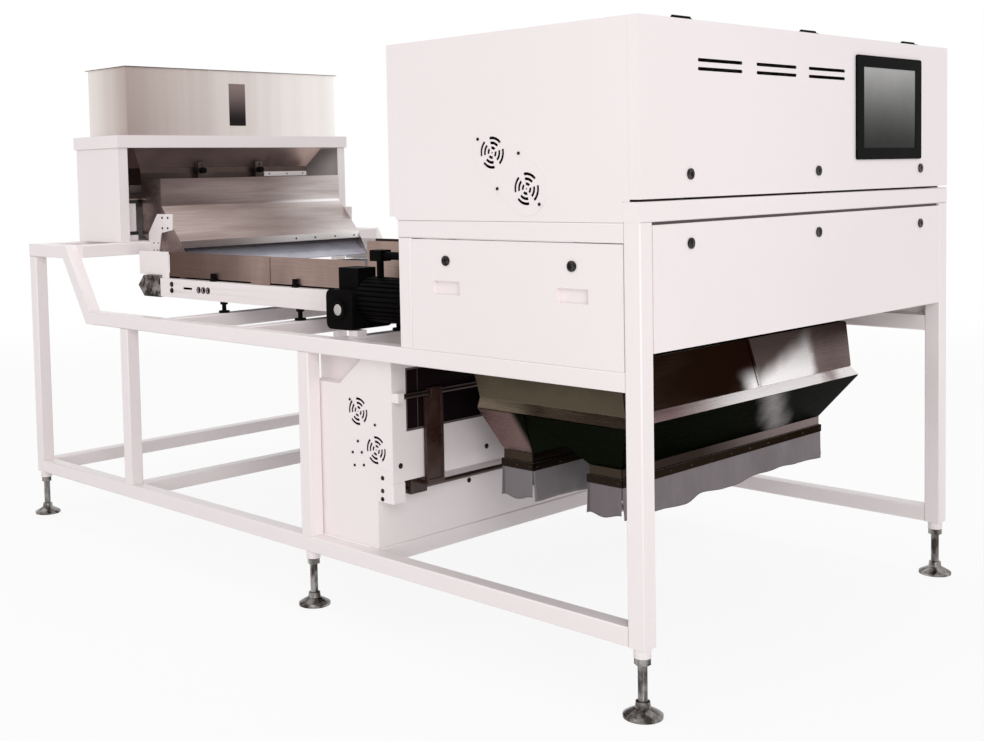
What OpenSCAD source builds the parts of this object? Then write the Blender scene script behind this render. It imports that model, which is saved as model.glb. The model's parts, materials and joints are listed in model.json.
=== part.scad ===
// Belt-fed optical colour sorter.
// Depths run back from the front face of the frame, heights run up from the floor,
// and the origin is on the floor under the middle of the frame.

/* [Frame] */
// Outer width of the frame
frame_w = 1650; // [1600:10:1750]
// Outer length of the frame
frame_l = 3025; // [3000:5:3100]
// Side of the square tube
tube = 50; // [44:2:54]
// Corner radius of the square tube
tube_r = 4; // [2:1:6]
// Height of the frame's underside above the floor
foot_h = 174; // [160:2:190]
// Height of the deck rail's top
deck_top = 854; // [840:2:870]
// Height of the cabinet's side rails
side_top = 1218; // [1200:2:1240]
// Height of the raised rails at the infeed end
raised_top = 1102; // [1090:2:1112]
// Depth of the cabinet's rear posts
cab_d = 842; // [830:2:850]
// Depth at which the middle posts start
mid_post_d = 1265; // [1255:5:1300]
// Depth at which the rear posts start
rear_post_d = 2306; // [2280:2:2330]
// Length of the raised rails along their top
raised_len = 290; // [280:2:300]
// Run of the sloping struts
slope_run = 160; // [140:2:180]
// Width of the sloping struts along the deck
strut_w = 54; // [48:2:60]
// Depths at which the deck cross members behind the drive start
deck_cross_d = [1620, 2065];

/* [Feet] */
// Diameter of the foot's base
foot_base = 100; // [80:2:120]
// Diameter of the foot's stud
stud = 24; // [20:1:27]
// Width across the flats of the lock nut
nut_af = 36; // [34:1:40]
// Height of the lock nut
nut_h = 18; // [12:1:22]
// Diameter of the threaded boss
boss = 44; // [38:1:48]
// Height of the threaded boss
boss_h = 24; // [16:1:30]
// Length of stud inside the boss and tube
stud_grip = 44; // [34:1:50]
// Depth of the stud's hole above the boss
stud_room = 36; // [30:1:40]
// How far a foot screws out for levelling
level_travel = 20; // [10:1:25]

/* [Sheet metal] */
// Thickness of the cover sheets
sheet = 2; // [1.5:0.5:3]
// Gap where two covers or welded pieces meet
seam = 0.2; // [0.1:0.1:0.4]
// Gap between a removable piece and its seat
seat = 0.3; // [0.2:0.1:0.5]
// Visible gap round a removable panel
panel_gap = 2; // [1:0.5:4]
// Depth of the folded edge of the panels
panel_fold = 25; // [20:1:30]

/* [Head] */
// Height of the head above the side rails
head_h = 496; // [470:2:520]
// Overhang of the head behind the cabinet
head_over = 33; // [24:1:48]
// Depth of the head's rear panel
rear_fold = 24; // [16:1:30]
// Depth of the door's folded edge
door_fold = 30; // [26:1:34]
// Gap between the front rail and the door
door_gap = 6; // [4:0.5:10]
// Distance of the head's window from the cabinet's rear cross member
window_back = 42; // [42:1:60]
// Depth of the head's window
window_w = 100; // [80:2:100]
// Width of a light bar
light_w = 38; // [30:1:38]
// Half the width of the windows' view
view_half = 560; // [520:5:600]

/* [Door] */
// Length of a vent slot
vent_len = 203; // [160:1:220]
// Height of a vent slot
vent_h = 9; // [5:1:10]
// Distance between the two rows of vents
vent_rows = 22; // [16:1:30]
// Height of the upper vents below the head's top
vent_down = 98; // [80:1:120]
// Places of the vents across the door
vent_x = [-476, -206, 61];
// Length of a hinge
hinge_len = 72; // [60:1:100]
// Diameter of a hinge knuckle
knuckle = 12; // [10:1:16]
// Diameter of the hinge pin
hinge_pin = 5; // [4:0.5:6]
// Places of the hinges across the door
hinge_x = [-606, 8, 612];
// Width of the screen's bezel
screen_w = 408; // [380:1:420]
// Height of the screen's bezel
screen_h = 305; // [280:1:320]
// Width of the display
display_w = 326; // [300:1:340]
// Height of the display
display_h = 237; // [220:1:250]
// Distance of the screen from the middle of the door
screen_x = 427; // [400:1:440]
// Height of the screen's middle below the head's top
screen_down = 200; // [190:1:210]
// How far the bezel stands out of the door
bezel_out = 6; // [4:0.5:10]

/* [Locks] */
// Diameter of a lock's head
lock_head = 28; // [24:1:32]
// Diameter of a lock's barrel
lock_barrel = 20; // [16:1:22]
// How far a lock's head stands out
lock_out = 4; // [3:0.5:6]
// Length of a lock's cam from its axis
cam_len = 35; // [30:1:40]
// Distance between neighbouring locks on the front
lock_pitch = 625; // [600:5:640]
// Distance of the middle lock from the middle of the machine
lock_shift = 10; // [0:1:20]
// Distance of the locks from the panel's edge
lock_edge = 58; // [50:1:64]
// Depths of the side panel's locks
side_lock_d = [209, 652];

/* [Panels] */
// Height of the front panel's lower edge above the deck
front_panel_up = 45; // [30:1:60]
// Shadow gap between the front rail and the front panel
panel_drop = 7; // [5:1:9]
// Length of a recessed pull
pull_len = 100; // [80:1:110]
// Height of a recessed pull
pull_h = 37; // [30:1:44]
// Depth of a recessed pull
pull_deep = 14; // [10:1:18]
// Height of the pulls' middle above the deck
pull_up = 179; // [160:1:190]

/* [Fans] */
// Side of a fan's square frame
fan_side = 92; // [88:1:100]
// Depth of a fan's frame
fan_deep = 25; // [20:1:30]
// Diameter of the outer grille slots
grille_d = 85; // [76:1:86]
// Width of a grille slot
slot_w = 7.5; // [5:0.5:8]
// Distance between neighbouring rings of slots
slot_pitch = 13; // [12:0.5:14]
// Angle that a slot covers
slot_arc = 62; // [50:1:70]
// Turn of the grille pattern
grille_turn = 18; // [-20:1:20]
// Radius of the fan plate's ends
fan_plate_r = 70; // [64:1:74]
// Thickness of the fan plate
fan_plate_t = 1.5; // [1:0.5:3]
// Number of rotor blades
blades = 7; // [5:1:9]
// Depth of the upper and lower head fan
head_fan_d = [472, 354];
// Height of the head fans above the side rails
head_fan_up = [181, 85];
// Depth of the upper and lower box fan
box_fan_d = [1092, 1014];
// Height of the box fans above the frame's underside
box_fan_up = [459, 350];

/* [Conveyor] */
// Half the width over the conveyor's rails
rail_half = 555; // [545:1:565]
// Width of a rail's channel
rail_w = 28; // [24:1:32]
// Height of a rail
rail_h = 72; // [66:1:76]
// Wall of a rail
rail_t = 4; // [3:0.5:5]
// Height of the conveyor's feet
conv_foot_h = 41; // [30:1:50]
// Distance of the drive roller's axis behind the cabinet
drive_back = 358; // [350:2:370]
// Reach of the rails in front of the drive roller's axis
rail_front = 90; // [80:2:100]
// Distance of the tail roller's axis in front of the feeder housing
tail_front = 134; // [130:1:140]
// Half the width of the belt
belt_half = 515; // [505:1:518]
// Thickness of the belt
belt_t = 2.5; // [2:0.5:4]
// Radius of the rollers
roller_r = 42; // [40:1:44]
// Diameter of the roller shafts
shaft = 30; // [25:1:34]
// Radial clearance of shafts, pins and barrels
run_gap = 0.05; // [0.03:0.01:0.08]
// Height of the roller axes above the rail's underside
roller_up = 39; // [36:1:42]
// Height of the belt's skirts
skirt_h = 95; // [80:1:105]
// Half the distance between the skirts
skirt_half = 540; // [536:1:542]
// Height of the guards past the belt's end
guard_h = 169; // [150:1:180]
// Depths of the skirt clamps
clamp_d = [1659, 2144];

/* [Gear motor] */
// Width of the gearbox
gearbox_w = 165; // [140:1:170]
// Side of the gearbox
gearbox_side = 124; // [110:1:130]
// Diameter of the motor
motor_d = 140; // [120:1:146]
// Length of the motor's finned body
motor_len = 225; // [200:1:240]
// Length of the motor's fan cowl
cowl_len = 46; // [36:1:60]
// Number of cooling fins
fins = 28; // [20:1:36]
// Depth of a cooling fin
fin_h = 8; // [5:1:10]
// Diameter of the motor's cable
motor_cable = 24; // [16:1:28]

/* [Feeder] */
// Half the width of the feeder housing
housing_half = 595; // [585:1:605]
// Depth of the feeder housing
housing_deep = 325; // [315:1:330]
// Height of the feeder housing
housing_h = 378; // [370:1:390]
// Width of the front stiles
stile_w = 42; // [34:1:50]
// Height of the cap
cap_h = 50; // [40:1:60]
// Overhang of the cap
cap_over = 8; // [4:1:12]
// Half the width of the hopper
hopper_half = 545; // [540:1:550]
// Depth of the hopper
hopper_deep = 290; // [284:1:296]
// Height of the hopper
hopper_h = 276; // [250:1:300]
// Width of the hopper's top flange
hopper_flange = 9; // [6:1:12]
// Width of the sight glass
sight_w = 85; // [70:1:100]
// Height of the sight glass
sight_h = 178; // [150:1:190]
// Half the width of the feed chute
chute_half = 466; // [455:1:470]
// Height of the chute's upright cover
chute_cover_h = 110; // [90:1:120]
// Height of the cover's lower edge above the raised rails
chute_fold_up = 142; // [136:1:148]
// Distance of the chute's cover in front of the housing
chute_front = 100; // [90:1:104]
// Run of the chute's sloping cover
chute_run = 130; // [124:1:140]
// Drop of the chute's sloping cover
chute_drop = 140; // [132:1:144]
// Half the width of the feeder tray
tray_half = 455; // [440:1:455]
// Height of the tray's floor above the raised rails
tray_up = 138; // [134:1:144]
// Height of the tray's sides
tray_h = 57; // [40:1:60]
// Stroke of the vibrating tray to each side
tray_stroke = 2; // [1:0.5:3]
// Travel of the feed gate
gate_travel = 22; // [12:1:24]
// Distance of the gate's clamp knobs from the middle
knob_x = 152; // [120:1:200]

/* [Lower box] */
// Half the width of the lower box
box_half = 773; // [765:1:773]
// Depth of the upper part's front face
box_front_d = 940; // [934:1:946]
// Depth of the lower part's front face
box_foot_d = 1010; // [1006:1:1014]
// Depth of the box's rear face
box_rear_d = 1310; // [1300:1:1330]
// Height of the upper part's underside above the frame's underside
box_step_up = 294; // [286:1:300]
// Height of the box's rear top above the frame's underside
box_back_up = 536; // [520:1:550]
// Height of the box's top above the frame's underside
box_top_up = 621; // [600:1:626]
// Depth at which the sloping top starts
box_slope_d = 1070; // [1060:1:1090]
// Depth at which the sloping top ends
box_slope_end_d = 1175; // [1160:1:1200]
// Inset of the plates that close the box's low back
hood_in = 40; // [30:1:60]
// Width of the front frame's stiles
front_stile = 57; // [50:1:70]
// Height of the sill's underside above the frame's underside
sill_up = 260; // [254:1:270]
// Height of the sill
sill_h = 147; // [130:1:150]
// Height of the top strip over the window
strip_h = 23; // [16:1:30]
// Width of the wiper's arm
wiper_w = 73; // [66:1:80]
// Place of the wiper's middle across the machine
wiper_x = -613; // [-620:1:-560]
// Travel of the wiper across the window
wiper_travel = 1200; // [1000:10:1200]
// Diameter of the wiper's rods
wiper_rod = 16; // [12:1:20]
// Height of the lower rod above the frame's underside
rod_low_up = 222; // [216:1:228]
// Height of the upper rod above the frame's underside
rod_high_up = 516; // [505:1:520]

/* [Discharge] */
// Half the width of the discharge hopper at its top
bin_top_half = 600; // [590:1:605]
// Half the width of the discharge hopper at its lip
bin_lip_half = 621; // [612:1:630]
// Depth of the front plate at its top
bin_front_d = 235; // [230:1:240]
// Depth of the front plate at its fold
bin_fold_d = 218; // [212:1:224]
// Depth of the lip
bin_lip_d = 201; // [195:1:206]
// Depth of the rear plate at its top
bin_rear_d = 790; // [780:1:800]
// Depth of the rear plate at the lip's height
bin_rear_low_d = 735; // [730:1:745]
// Distance of the hopper's top below the deck
bin_top_down = 16; // [10:1:24]
// Height of the front plate
bin_plate_h = 146; // [130:1:150]
// Height of the lip
bin_lip_h = 28; // [20:1:34]
// Height of the funnels
funnel_h = 135; // [120:1:140]
// Depth of the ridge between the funnels
ridge_d = 555; // [545:1:565]
// Half the width of the outlets
outlet_half = 525; // [515:1:535]
// Depth of the front outlet's front wall
outlet_front_d = 290; // [284:1:296]
// Depth of the rear outlet's front wall
outlet_rear_d = 610; // [600:1:616]
// Size of an outlet along the machine
outlet_deep = 110; // [100:1:112]
// Height of the outlets' necks
neck_h = 45; // [36:1:52]
// Length of the hanging skirts
hem_h = 94; // [80:1:100]
// Thickness of the hanging skirts
hem_t = 3; // [2:0.5:4]
// Height of the strips that clamp the skirts
clamp_h = 22; // [16:1:30]
// Place where the front cover sheet starts at its top
cover_top_x = 8; // [0:1:20]
// Place where the front cover sheet starts at its fold
cover_low_x = 47; // [30:1:60]

/* [Ejector] */
// Side of the ejector bar
ejector_bar_side = 40; // [36:1:44]
// Height of the ejector bar above the deck
ejector_up = 106; // [100:1:120]
// Number of valve blocks
valves = 18; // [12:1:20]
// Distance between valve blocks
valve_pitch = 58; // [56:0.5:60]
// Height of a valve block
valve_h = 46; // [36:1:50]

/* [Hidden] */

$fn = 48;
white = [0.93, 0.91, 0.91];
steel = [0.66, 0.63, 0.61];
black = [0.07, 0.07, 0.08];
zinc = [0.45, 0.44, 0.43];

half_w = frame_w / 2;
inner_half = half_w - tube;
bottom_top = foot_h + tube;
deck_low = deck_top - tube;
front_rail_z = side_top + seam;
front_rail_top = front_rail_z + tube;
head_low = side_top + seat;
head_top = side_top + head_h;
side_front_d = door_fold + seat;
head_d = cab_d + head_over;
side_rear_d = head_d - rear_fold - seat;
door_low = front_rail_top + door_gap;
slope_high_d = frame_l - raised_len;
slope_low_d = slope_high_d - slope_run;
slope_rate = slope_run / (raised_top - deck_top);
raised_cross_d = slope_high_d - 45;
window_d = cab_d - tube - window_back - window_w;
drive_d = cab_d + drive_back;
cross_d = concat([drive_d - 75], deck_cross_d);
box_cross_d = box_foot_d - 5;
mid_foot_d = mid_post_d + tube / 2;

nut_top = foot_h - boss_h - seat;
boss_low = foot_h - boss_h;

fan_x = -half_w + sheet + seat;
box_fan_x = -box_half + sheet + seat;
head_fan_z = [for (u = head_fan_up) side_top + u];
box_fan_z = [for (u = box_fan_up) foot_h + u];

screen_z = head_top - screen_down;
hinge_d = door_fold;
hinge_z = head_top + knuckle / 2 + seat;

lock_x = [lock_shift - lock_pitch, lock_shift, lock_shift + lock_pitch];
door_lock_z = door_low + lock_edge;
panel_low = deck_top + front_panel_up;
panel_top = front_rail_z - seat - seam;
panel_lock_z = panel_top - lock_edge;
side_panel_low = deck_top + seat;
side_panel_top = side_top - tube - panel_gap;
side_lock_z = side_panel_top - lock_edge;
side_d0 = tube + panel_gap;
side_d1 = cab_d - tube - panel_gap;
keeper_t = 3;
keeper_w = 30;
cam_t = 3;
cam_w = 12;
cam_gap = 0.5;
keeper_reach = 22;

rail_low = deck_top + conv_foot_h;
rail_d0 = drive_d - rail_front;
rail_top = rail_low + rail_h;
rail_in = rail_half - rail_w;
roller_z = rail_low + roller_up;
housing_d = frame_l - housing_deep;
tail_d = housing_d - tail_front;
block_half = 78;
rail_d1 = tail_d - block_half + 2;
belt_in = roller_r + seat;
belt_top = roller_z + belt_in + belt_t;
skirt_low = rail_top + 8;
skirt_d0 = drive_d + 100;
skirt_d1 = rail_d1 - 50;
guard_d0 = cab_d + 28;
guard_d1 = skirt_d0 - 10;
bearing_t = 20;
gearbox_x1 = -rail_half - seat - bearing_t - 5;
gearbox_x0 = gearbox_x1 - gearbox_w;
motor_z = roller_z + 31;
motor_x = gearbox_x0 + gearbox_w / 2;

housing_low = raised_top + seat;
housing_top = raised_top + housing_h;
cap_low = housing_top + seat;
cap_top = cap_low + cap_h;
hopper_d0 = housing_d + 5;
hopper_low = cap_top + seat;
hopper_top = hopper_low + hopper_h;
sight_z = hopper_low + 43;
cap_hole_half = hopper_half - 15;
cap_hole_d0 = hopper_d0 + 15;
cap_hole_d1 = hopper_d0 + hopper_deep - 15;
neck_half = 440;
neck_d0 = housing_d + 90;
neck_d1 = neck_d0 + 110;
neck_top = cap_low - 80;
neck_low = neck_top - 70;
gate_h = 48;
knob_z = neck_top - 14;
knob_stud = 8;
slot_half = knob_stud / 2 + 1;
gate_top = knob_z - slot_half - 3;
strap_d = neck_d0 - 26;
strap_t = 4;
chute_d = housing_d - chute_front;
chute_fold_z = raised_top + chute_fold_up;
chute_top = chute_fold_z + chute_cover_h;
chute_lip_d = chute_d - chute_run;
chute_lip_z = chute_fold_z - chute_drop;
chute_back_d = housing_d + 40;
tray_z = raised_top + tray_up;
tray_d0 = chute_back_d + 15;
tray_d1 = frame_l - 45;
mount_d = [tray_d0, tray_d1 - 80];
mount_w = 70;
mount_x = chute_half + 14;
mount_top = tray_z + 30;

box_low = bottom_top + seat;
box_step = foot_h + box_step_up;
box_back = foot_h + box_back_up;
box_top = foot_h + box_top_up;
sill_low = foot_h + sill_up;
sill_top = sill_low + sill_h;
rod_low_z = foot_h + rod_low_up;
rod_high_z = foot_h + rod_high_up;
rod_low_d = box_front_d + 34;
rod_high_d = box_front_d - 14;

bin_top = deck_top - bin_top_down;
bin_fold_z = bin_top - bin_plate_h;
bin_lip_z = bin_fold_z - bin_lip_h;
outlet_top = bin_lip_z - funnel_h;
outlet_low = outlet_top - neck_h;
skirt_off = seam + sheet + seat;
clamp_top = outlet_low + 18;
ejector_z = deck_top + ejector_up;

// Depth from the front face to the model's own Y
function fy(d) = d - frame_l / 2;

// A plate or block between two places across, along and up
module slab(x, d, z) {
    translate([x[0], fy(d[0]), z[0]])
        cube([x[1] - x[0], d[1] - d[0], z[1] - z[0]]);
}

// A side outline in depth and height, carried across from x[0] to x[1]
module side_prism(x, outline) {
    translate([x[0], 0, 0])
        rotate([90, 0, 90])
            linear_extrude(x[1] - x[0])
                polygon([for (p = outline) [fy(p[0]), p[1]]]);
}

module rod_x(x, d, z, r) {
    translate([x[0], fy(d), z])
        rotate([0, 90, 0])
            cylinder(h = x[1] - x[0], r = r);
}

module rod_y(x, d, z, r) {
    translate([x, fy(d[1]), z])
        rotate([90, 0, 0])
            cylinder(h = d[1] - d[0], r = r);
}

module rod_z(x, d, z, r) {
    translate([x, fy(d), z[0]])
        cylinder(h = z[1] - z[0], r = r);
}

module both_sides() {
    children();
    mirror([1, 0, 0])
        children();
}

// A flat sheet through four corners, thickened along the corners' normal
module sheet_quad(corners, t) {
    q = [for (c = corners) [c[0], fy(c[1]), c[2]]];
    turn = cross(q[1] - q[0], q[3] - q[0]);
    n = turn / norm(turn) * t;
    polyhedron(points = concat(q, [for (v = q) v + n]),
        faces = [[0, 1, 2, 3], [7, 6, 5, 4], [0, 4, 5, 1], [1, 5, 6, 2], [2, 6, 7, 3], [3, 7, 4, 0]]);
}

// Four sheets between a top and a low rectangle, each [half width, front, rear, height]
module shell4(top, low, t) {
    e = seam;
    sheet_quad([[-top[0] + e, top[1], top[3]], [-low[0] + e, low[1], low[3]],
        [low[0] - e, low[1], low[3]], [top[0] - e, top[1], top[3]]], t);
    sheet_quad([[top[0] - e, top[2], top[3]], [low[0] - e, low[2], low[3]],
        [-low[0] + e, low[2], low[3]], [-top[0] + e, top[2], top[3]]], t);
    both_sides()
        sheet_quad([[top[0], top[1] + e, top[3]], [low[0], low[1] + e, low[3]],
            [low[0], low[2] - e, low[3]], [top[0], top[2] - e, top[3]]], t);
}

module round_rect(w, h, r) {
    translate([r, 0])
        square([w - 2 * r, h]);
    translate([0, r])
        square([w, h - 2 * r]);
    for (x = [r, w - r], y = [r, h - r])
        translate([x, y])
            circle(r = r, $fn = 32);
}

module post(x, d, z) {
    translate([x, fy(d), z[0]])
        linear_extrude(z[1] - z[0])
            round_rect(tube, tube, tube_r);
}

module rail_y(x, d, z) {
    translate([x, fy(d[1]), z])
        rotate([90, 0, 0])
            linear_extrude(d[1] - d[0])
                round_rect(tube, tube, tube_r);
}

module rail_x(x, d, z) {
    translate([x[0], fy(d), z])
        rotate([90, 0, 90])
            linear_extrude(x[1] - x[0])
                round_rect(tube, tube, tube_r);
}

// Frame

module foot_bore(x, d) {
    rod_z(x, d, [boss_low - 1, foot_h + stud_room], stud / 2 + run_gap);
}

module foot_boss(x, d) {
    rod_z(x, d, [boss_low, foot_h + 1], boss / 2);
}

module footed_post(x, d, z) {
    difference() {
        union() {
            post(x, d, z);
            foot_boss(x + tube / 2, d + tube / 2);
        }
        foot_bore(x + tube / 2, d + tube / 2);
    }
}

module keeper_plate(x, d, z) {
    slab(x, d, z);
}

module side_frame() {
    x = -half_w;
    low_cut = slope_low_d - tube * slope_rate;
    high_cut = slope_high_d + strut_w;
    footed_post(x, 0, [foot_h, side_top]);
    footed_post(x, frame_l - tube, [foot_h, raised_top - tube - seam]);
    difference() {
        union() {
            rail_y(x, [tube + seam, frame_l - tube - seam], foot_h);
            foot_boss(x + tube / 2, mid_foot_d);
        }
        foot_bore(x + tube / 2, mid_foot_d);
    }
    for (d = [mid_post_d, rear_post_d])
        post(x, d, [bottom_top + seam, deck_low - seam]);
    post(x, cab_d - tube, [deck_top + seam, side_top - tube - seam]);
    rail_y(x, [tube + seam, cab_d], side_top - tube);
    intersection() {
        rail_y(x, [tube + seam, slope_low_d], deck_low);
        side_prism([x - 1, x + tube + 1], [[0, deck_low - 1], [low_cut - seam - slope_rate, deck_low - 1],
            [slope_low_d - seam + slope_rate, deck_top + 1], [0, deck_top + 1]]);
    }
    side_prism([x, x + tube], [[low_cut, deck_low], [low_cut + strut_w, deck_low],
        [high_cut, raised_top], [slope_high_d, raised_top]]);
    intersection() {
        rail_y(x, [slope_high_d, frame_l], raised_top - tube);
        side_prism([x - 1, x + tube + 1],
            [[high_cut - (tube + 1) * slope_rate + seam, raised_top - tube - 1],
            [frame_l + 1, raised_top - tube - 1], [frame_l + 1, raised_top + 1],
            [high_cut + slope_rate + seam, raised_top + 1]]);
    }
}

module frame_left_side() color(white) {
    side_frame();
    keeper_x = -half_w + panel_fold + seat;
    for (d = side_lock_d)
        slab([keeper_x, keeper_x + keeper_t], [d - keeper_w / 2, d + keeper_w / 2],
            [side_lock_z + keeper_reach, side_top - tube - seam]);
}

module frame_right_side() color(white) mirror([1, 0, 0]) side_frame();

module frame_cross_members() color(white) {
    span = [-inner_half + seam, inner_half - seam];
    rail_x([-half_w, half_w], 0, front_rail_z);
    rail_x(span, cab_d - tube, side_top - tube);
    for (d = [box_cross_d, rear_post_d, frame_l - tube])
        rail_x(span, d, foot_h);
    for (d = cross_d)
        rail_x(span, d, deck_low);
    for (d = [raised_cross_d, frame_l - tube])
        rail_x(span, d, raised_top - tube);
    for (x = lock_x) {
        slab([x - keeper_w / 2, x + keeper_w / 2], [panel_fold + seat, panel_fold + seat + keeper_t],
            [panel_lock_z + keeper_reach, front_rail_z - seam]);
        slab([x - keeper_w / 2, x + keeper_w / 2], [door_fold + seat, door_fold + seat + keeper_t],
            [front_rail_top + seam, door_lock_z - keeper_reach]);
    }
}

// Levelling feet: a domed base on a stud, with a hexagonal lock nut under the boss

module levelling_foot(x, d) color(zinc) {
    translate([x, fy(d), 0])
        rotate_extrude()
            polygon([[0, 0], [foot_base / 2, 0], [foot_base / 2, 7], [foot_base / 2 - 6, 11],
                [stud / 2 + 8, 24], [stud / 2 + 6, 40], [stud / 2, 42],
                [stud / 2, boss_low + stud_grip], [0, boss_low + stud_grip]]);
    translate([x, fy(d), nut_top - nut_h])
        difference() {
            cylinder(h = nut_h, r = nut_af / sqrt(3), $fn = 6);
            translate([0, 0, -1])
                cylinder(h = nut_h + 2, r = stud / 2 + run_gap);
        }
}

foot_x = half_w - tube / 2;
module foot_front_left() levelling_foot(-foot_x, tube / 2);
module foot_front_right() levelling_foot(foot_x, tube / 2);
module foot_mid_left() levelling_foot(-foot_x, mid_foot_d);
module foot_mid_right() levelling_foot(foot_x, mid_foot_d);
module foot_rear_left() levelling_foot(-foot_x, frame_l - tube / 2);
module foot_rear_right() levelling_foot(foot_x, frame_l - tube / 2);

// Fans: a square frame with a spider and pin, a bladed rotor, and a slotted grille

module slot_ring(r) {
    for (q = [0:3])
        rotate(q * 90 + grille_turn + 90)
            intersection() {
                difference() {
                    circle(r = r);
                    circle(r = r - slot_w);
                }
                polygon([[0, 0], [2 * r * cos(slot_arc / 2), -2 * r * sin(slot_arc / 2)],
                    [2 * r * cos(slot_arc / 2), 2 * r * sin(slot_arc / 2)]]);
            }
}

module grille() {
    for (ring = [0:2])
        slot_ring(grille_d / 2 - ring * slot_pitch);
    circle(r = 2.5);
}

// The grille's slots cut through from x[0] to x[1]
module grille_cut(x, d, z) {
    translate([x[0], fy(d), z])
        rotate([90, 0, 90])
            linear_extrude(x[1] - x[0])
                grille();
}

hub_r = 18;
fan_bore = fan_side / 2 - 2;
fan_pin = 2.5;
spider_t = 4;

module fan_frame(x, d, z) {
    x1 = x + fan_deep;
    difference() {
        slab([x, x1], [d - fan_side / 2, d + fan_side / 2], [z - fan_side / 2, z + fan_side / 2]);
        rod_x([x - 1, x1 - spider_t], d, z, fan_bore);
        difference() {
            rod_x([x1 - spider_t - 1, x1 + 1], d, z, fan_bore);
            rod_x([x1 - spider_t - 2, x1 + 2], d, z, hub_r);
            for (turn = [45, 135])
                translate([x1 - spider_t / 2, fy(d), z])
                    rotate([turn, 0, 0])
                        cube([spider_t + 4, fan_side, 6], center = true);
        }
    }
    rod_x([x + 8, x1 - spider_t + 1], d, z, fan_pin);
}

module fan_rotor(x, d, z) color(black) {
    rotor_x0 = x + 4;
    rotor_x1 = x + fan_deep - spider_t - 1;
    blade_r = fan_bore - 2.5;
    difference() {
        union() {
            rod_x([rotor_x0, rotor_x1], d, z, hub_r - 1);
            for (b = [0:blades - 1])
                translate([(rotor_x0 + rotor_x1) / 2, fy(d), z])
                    rotate([b * 360 / blades, 0, 0])
                        translate([0, 0, (hub_r + blade_r) / 2 - 3])
                            rotate([0, 0, 38])
                                cube([2, 18, blade_r - hub_r + 2], center = true);
        }
        rod_x([rotor_x0 + 3, rotor_x1 + 1], d, z, fan_pin + run_gap);
    }
}

module fan_frames() color(black) {
    for (i = [0:1]) {
        fan_frame(fan_x, head_fan_d[i], head_fan_z[i]);
        fan_frame(box_fan_x, box_fan_d[i], box_fan_z[i]);
    }
}

module head_fan_rotor_upper() fan_rotor(fan_x, head_fan_d[0], head_fan_z[0]);
module head_fan_rotor_lower() fan_rotor(fan_x, head_fan_d[1], head_fan_z[1]);
module box_fan_rotor_upper() fan_rotor(box_fan_x, box_fan_d[0], box_fan_z[0]);
module box_fan_rotor_lower() fan_rotor(box_fan_x, box_fan_d[1], box_fan_z[1]);

// Head

module head_side(x) {
    side_prism(x, [[side_front_d, head_top], [side_rear_d, head_top], [side_rear_d, head_low],
        [tube + seat, head_low], [tube + seat, front_rail_top + seat],
        [side_front_d, front_rail_top + seat]]);
}

module fan_plate() {
    run = [head_fan_d[0] - head_fan_d[1], head_fan_z[0] - head_fan_z[1]];
    reach = norm(run);
    lean = atan2(run[1], run[0]);
    translate([-half_w - fan_plate_t - seam, fy(head_fan_d[1]), head_fan_z[1]])
        rotate([90, 0, 90])
            linear_extrude(fan_plate_t)
                difference() {
                    rotate(lean) {
                        translate([0, -fan_plate_r])
                            square([reach, 2 * fan_plate_r]);
                        circle(r = fan_plate_r);
                        translate([reach, 0])
                            circle(r = fan_plate_r);
                    }
                    grille();
                    translate(run)
                        grille();
                }
}

module head_side_panels() color(white) {
    difference() {
        head_side([-half_w, -half_w + sheet]);
        for (i = [0:1])
            rod_x([-half_w - 1, -half_w + sheet + 1], head_fan_d[i], head_fan_z[i], grille_d / 2 + 1);
    }
    head_side([half_w - sheet, half_w]);
    fan_plate();
}

module head_top_panel() color(white)
    slab([-half_w + sheet + seam, half_w - sheet - seam], [side_front_d, side_rear_d],
        [head_top - sheet, head_top]);

module head_rear_panel() color(white) difference() {
    slab([-half_w, half_w], [head_d - rear_fold, head_d], [head_low + 10, head_top]);
    slab([-half_w + sheet, half_w - sheet], [head_d - rear_fold - 1, head_d - sheet],
        [head_low + 10 + sheet, head_top - sheet]);
}

module head_floor() color(white) difference() {
    slab([-half_w + sheet + seam, half_w - sheet - seam], [tube + seat, side_rear_d],
        [head_low, head_low + sheet]);
    slab([-view_half, view_half], [window_d, window_d + window_w], [head_low - 1, head_low + sheet + 1]);
}

module glass_windows() color([0.05, 0.05, 0.06, 0.8]) {
    rest = 10;
    slab([-view_half - rest, view_half + rest], [window_d - rest, window_d + window_w + rest],
        [head_low + sheet + seat, head_low + sheet + seat + 6]);
    slab([-box_half + front_stile - rest, box_half - front_stile + rest],
        [box_front_d + sheet + seat, box_front_d + sheet + seat + 5],
        [sill_top - rest, box_top - strip_h + rest]);
    slab([-sight_w / 2 + seam, sight_w / 2 - seam], [hopper_d0 - 1, hopper_d0 + sheet],
        [sight_z + seam, sight_z + sight_h - seam]);
}

// Door

module lock_hole(x, z, deep) {
    rod_y(x, [-1, deep], z, lock_barrel / 2 + run_gap);
}

module vent(x, z) {
    r = vent_h / 2;
    slab([x - vent_len / 2 + r, x + vent_len / 2 - r], [-1, sheet + 1], [z - r, z + r]);
    for (end = [-1, 1])
        rod_y(x + end * (vent_len / 2 - r), [-1, sheet + 1], z, r);
}

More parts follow.
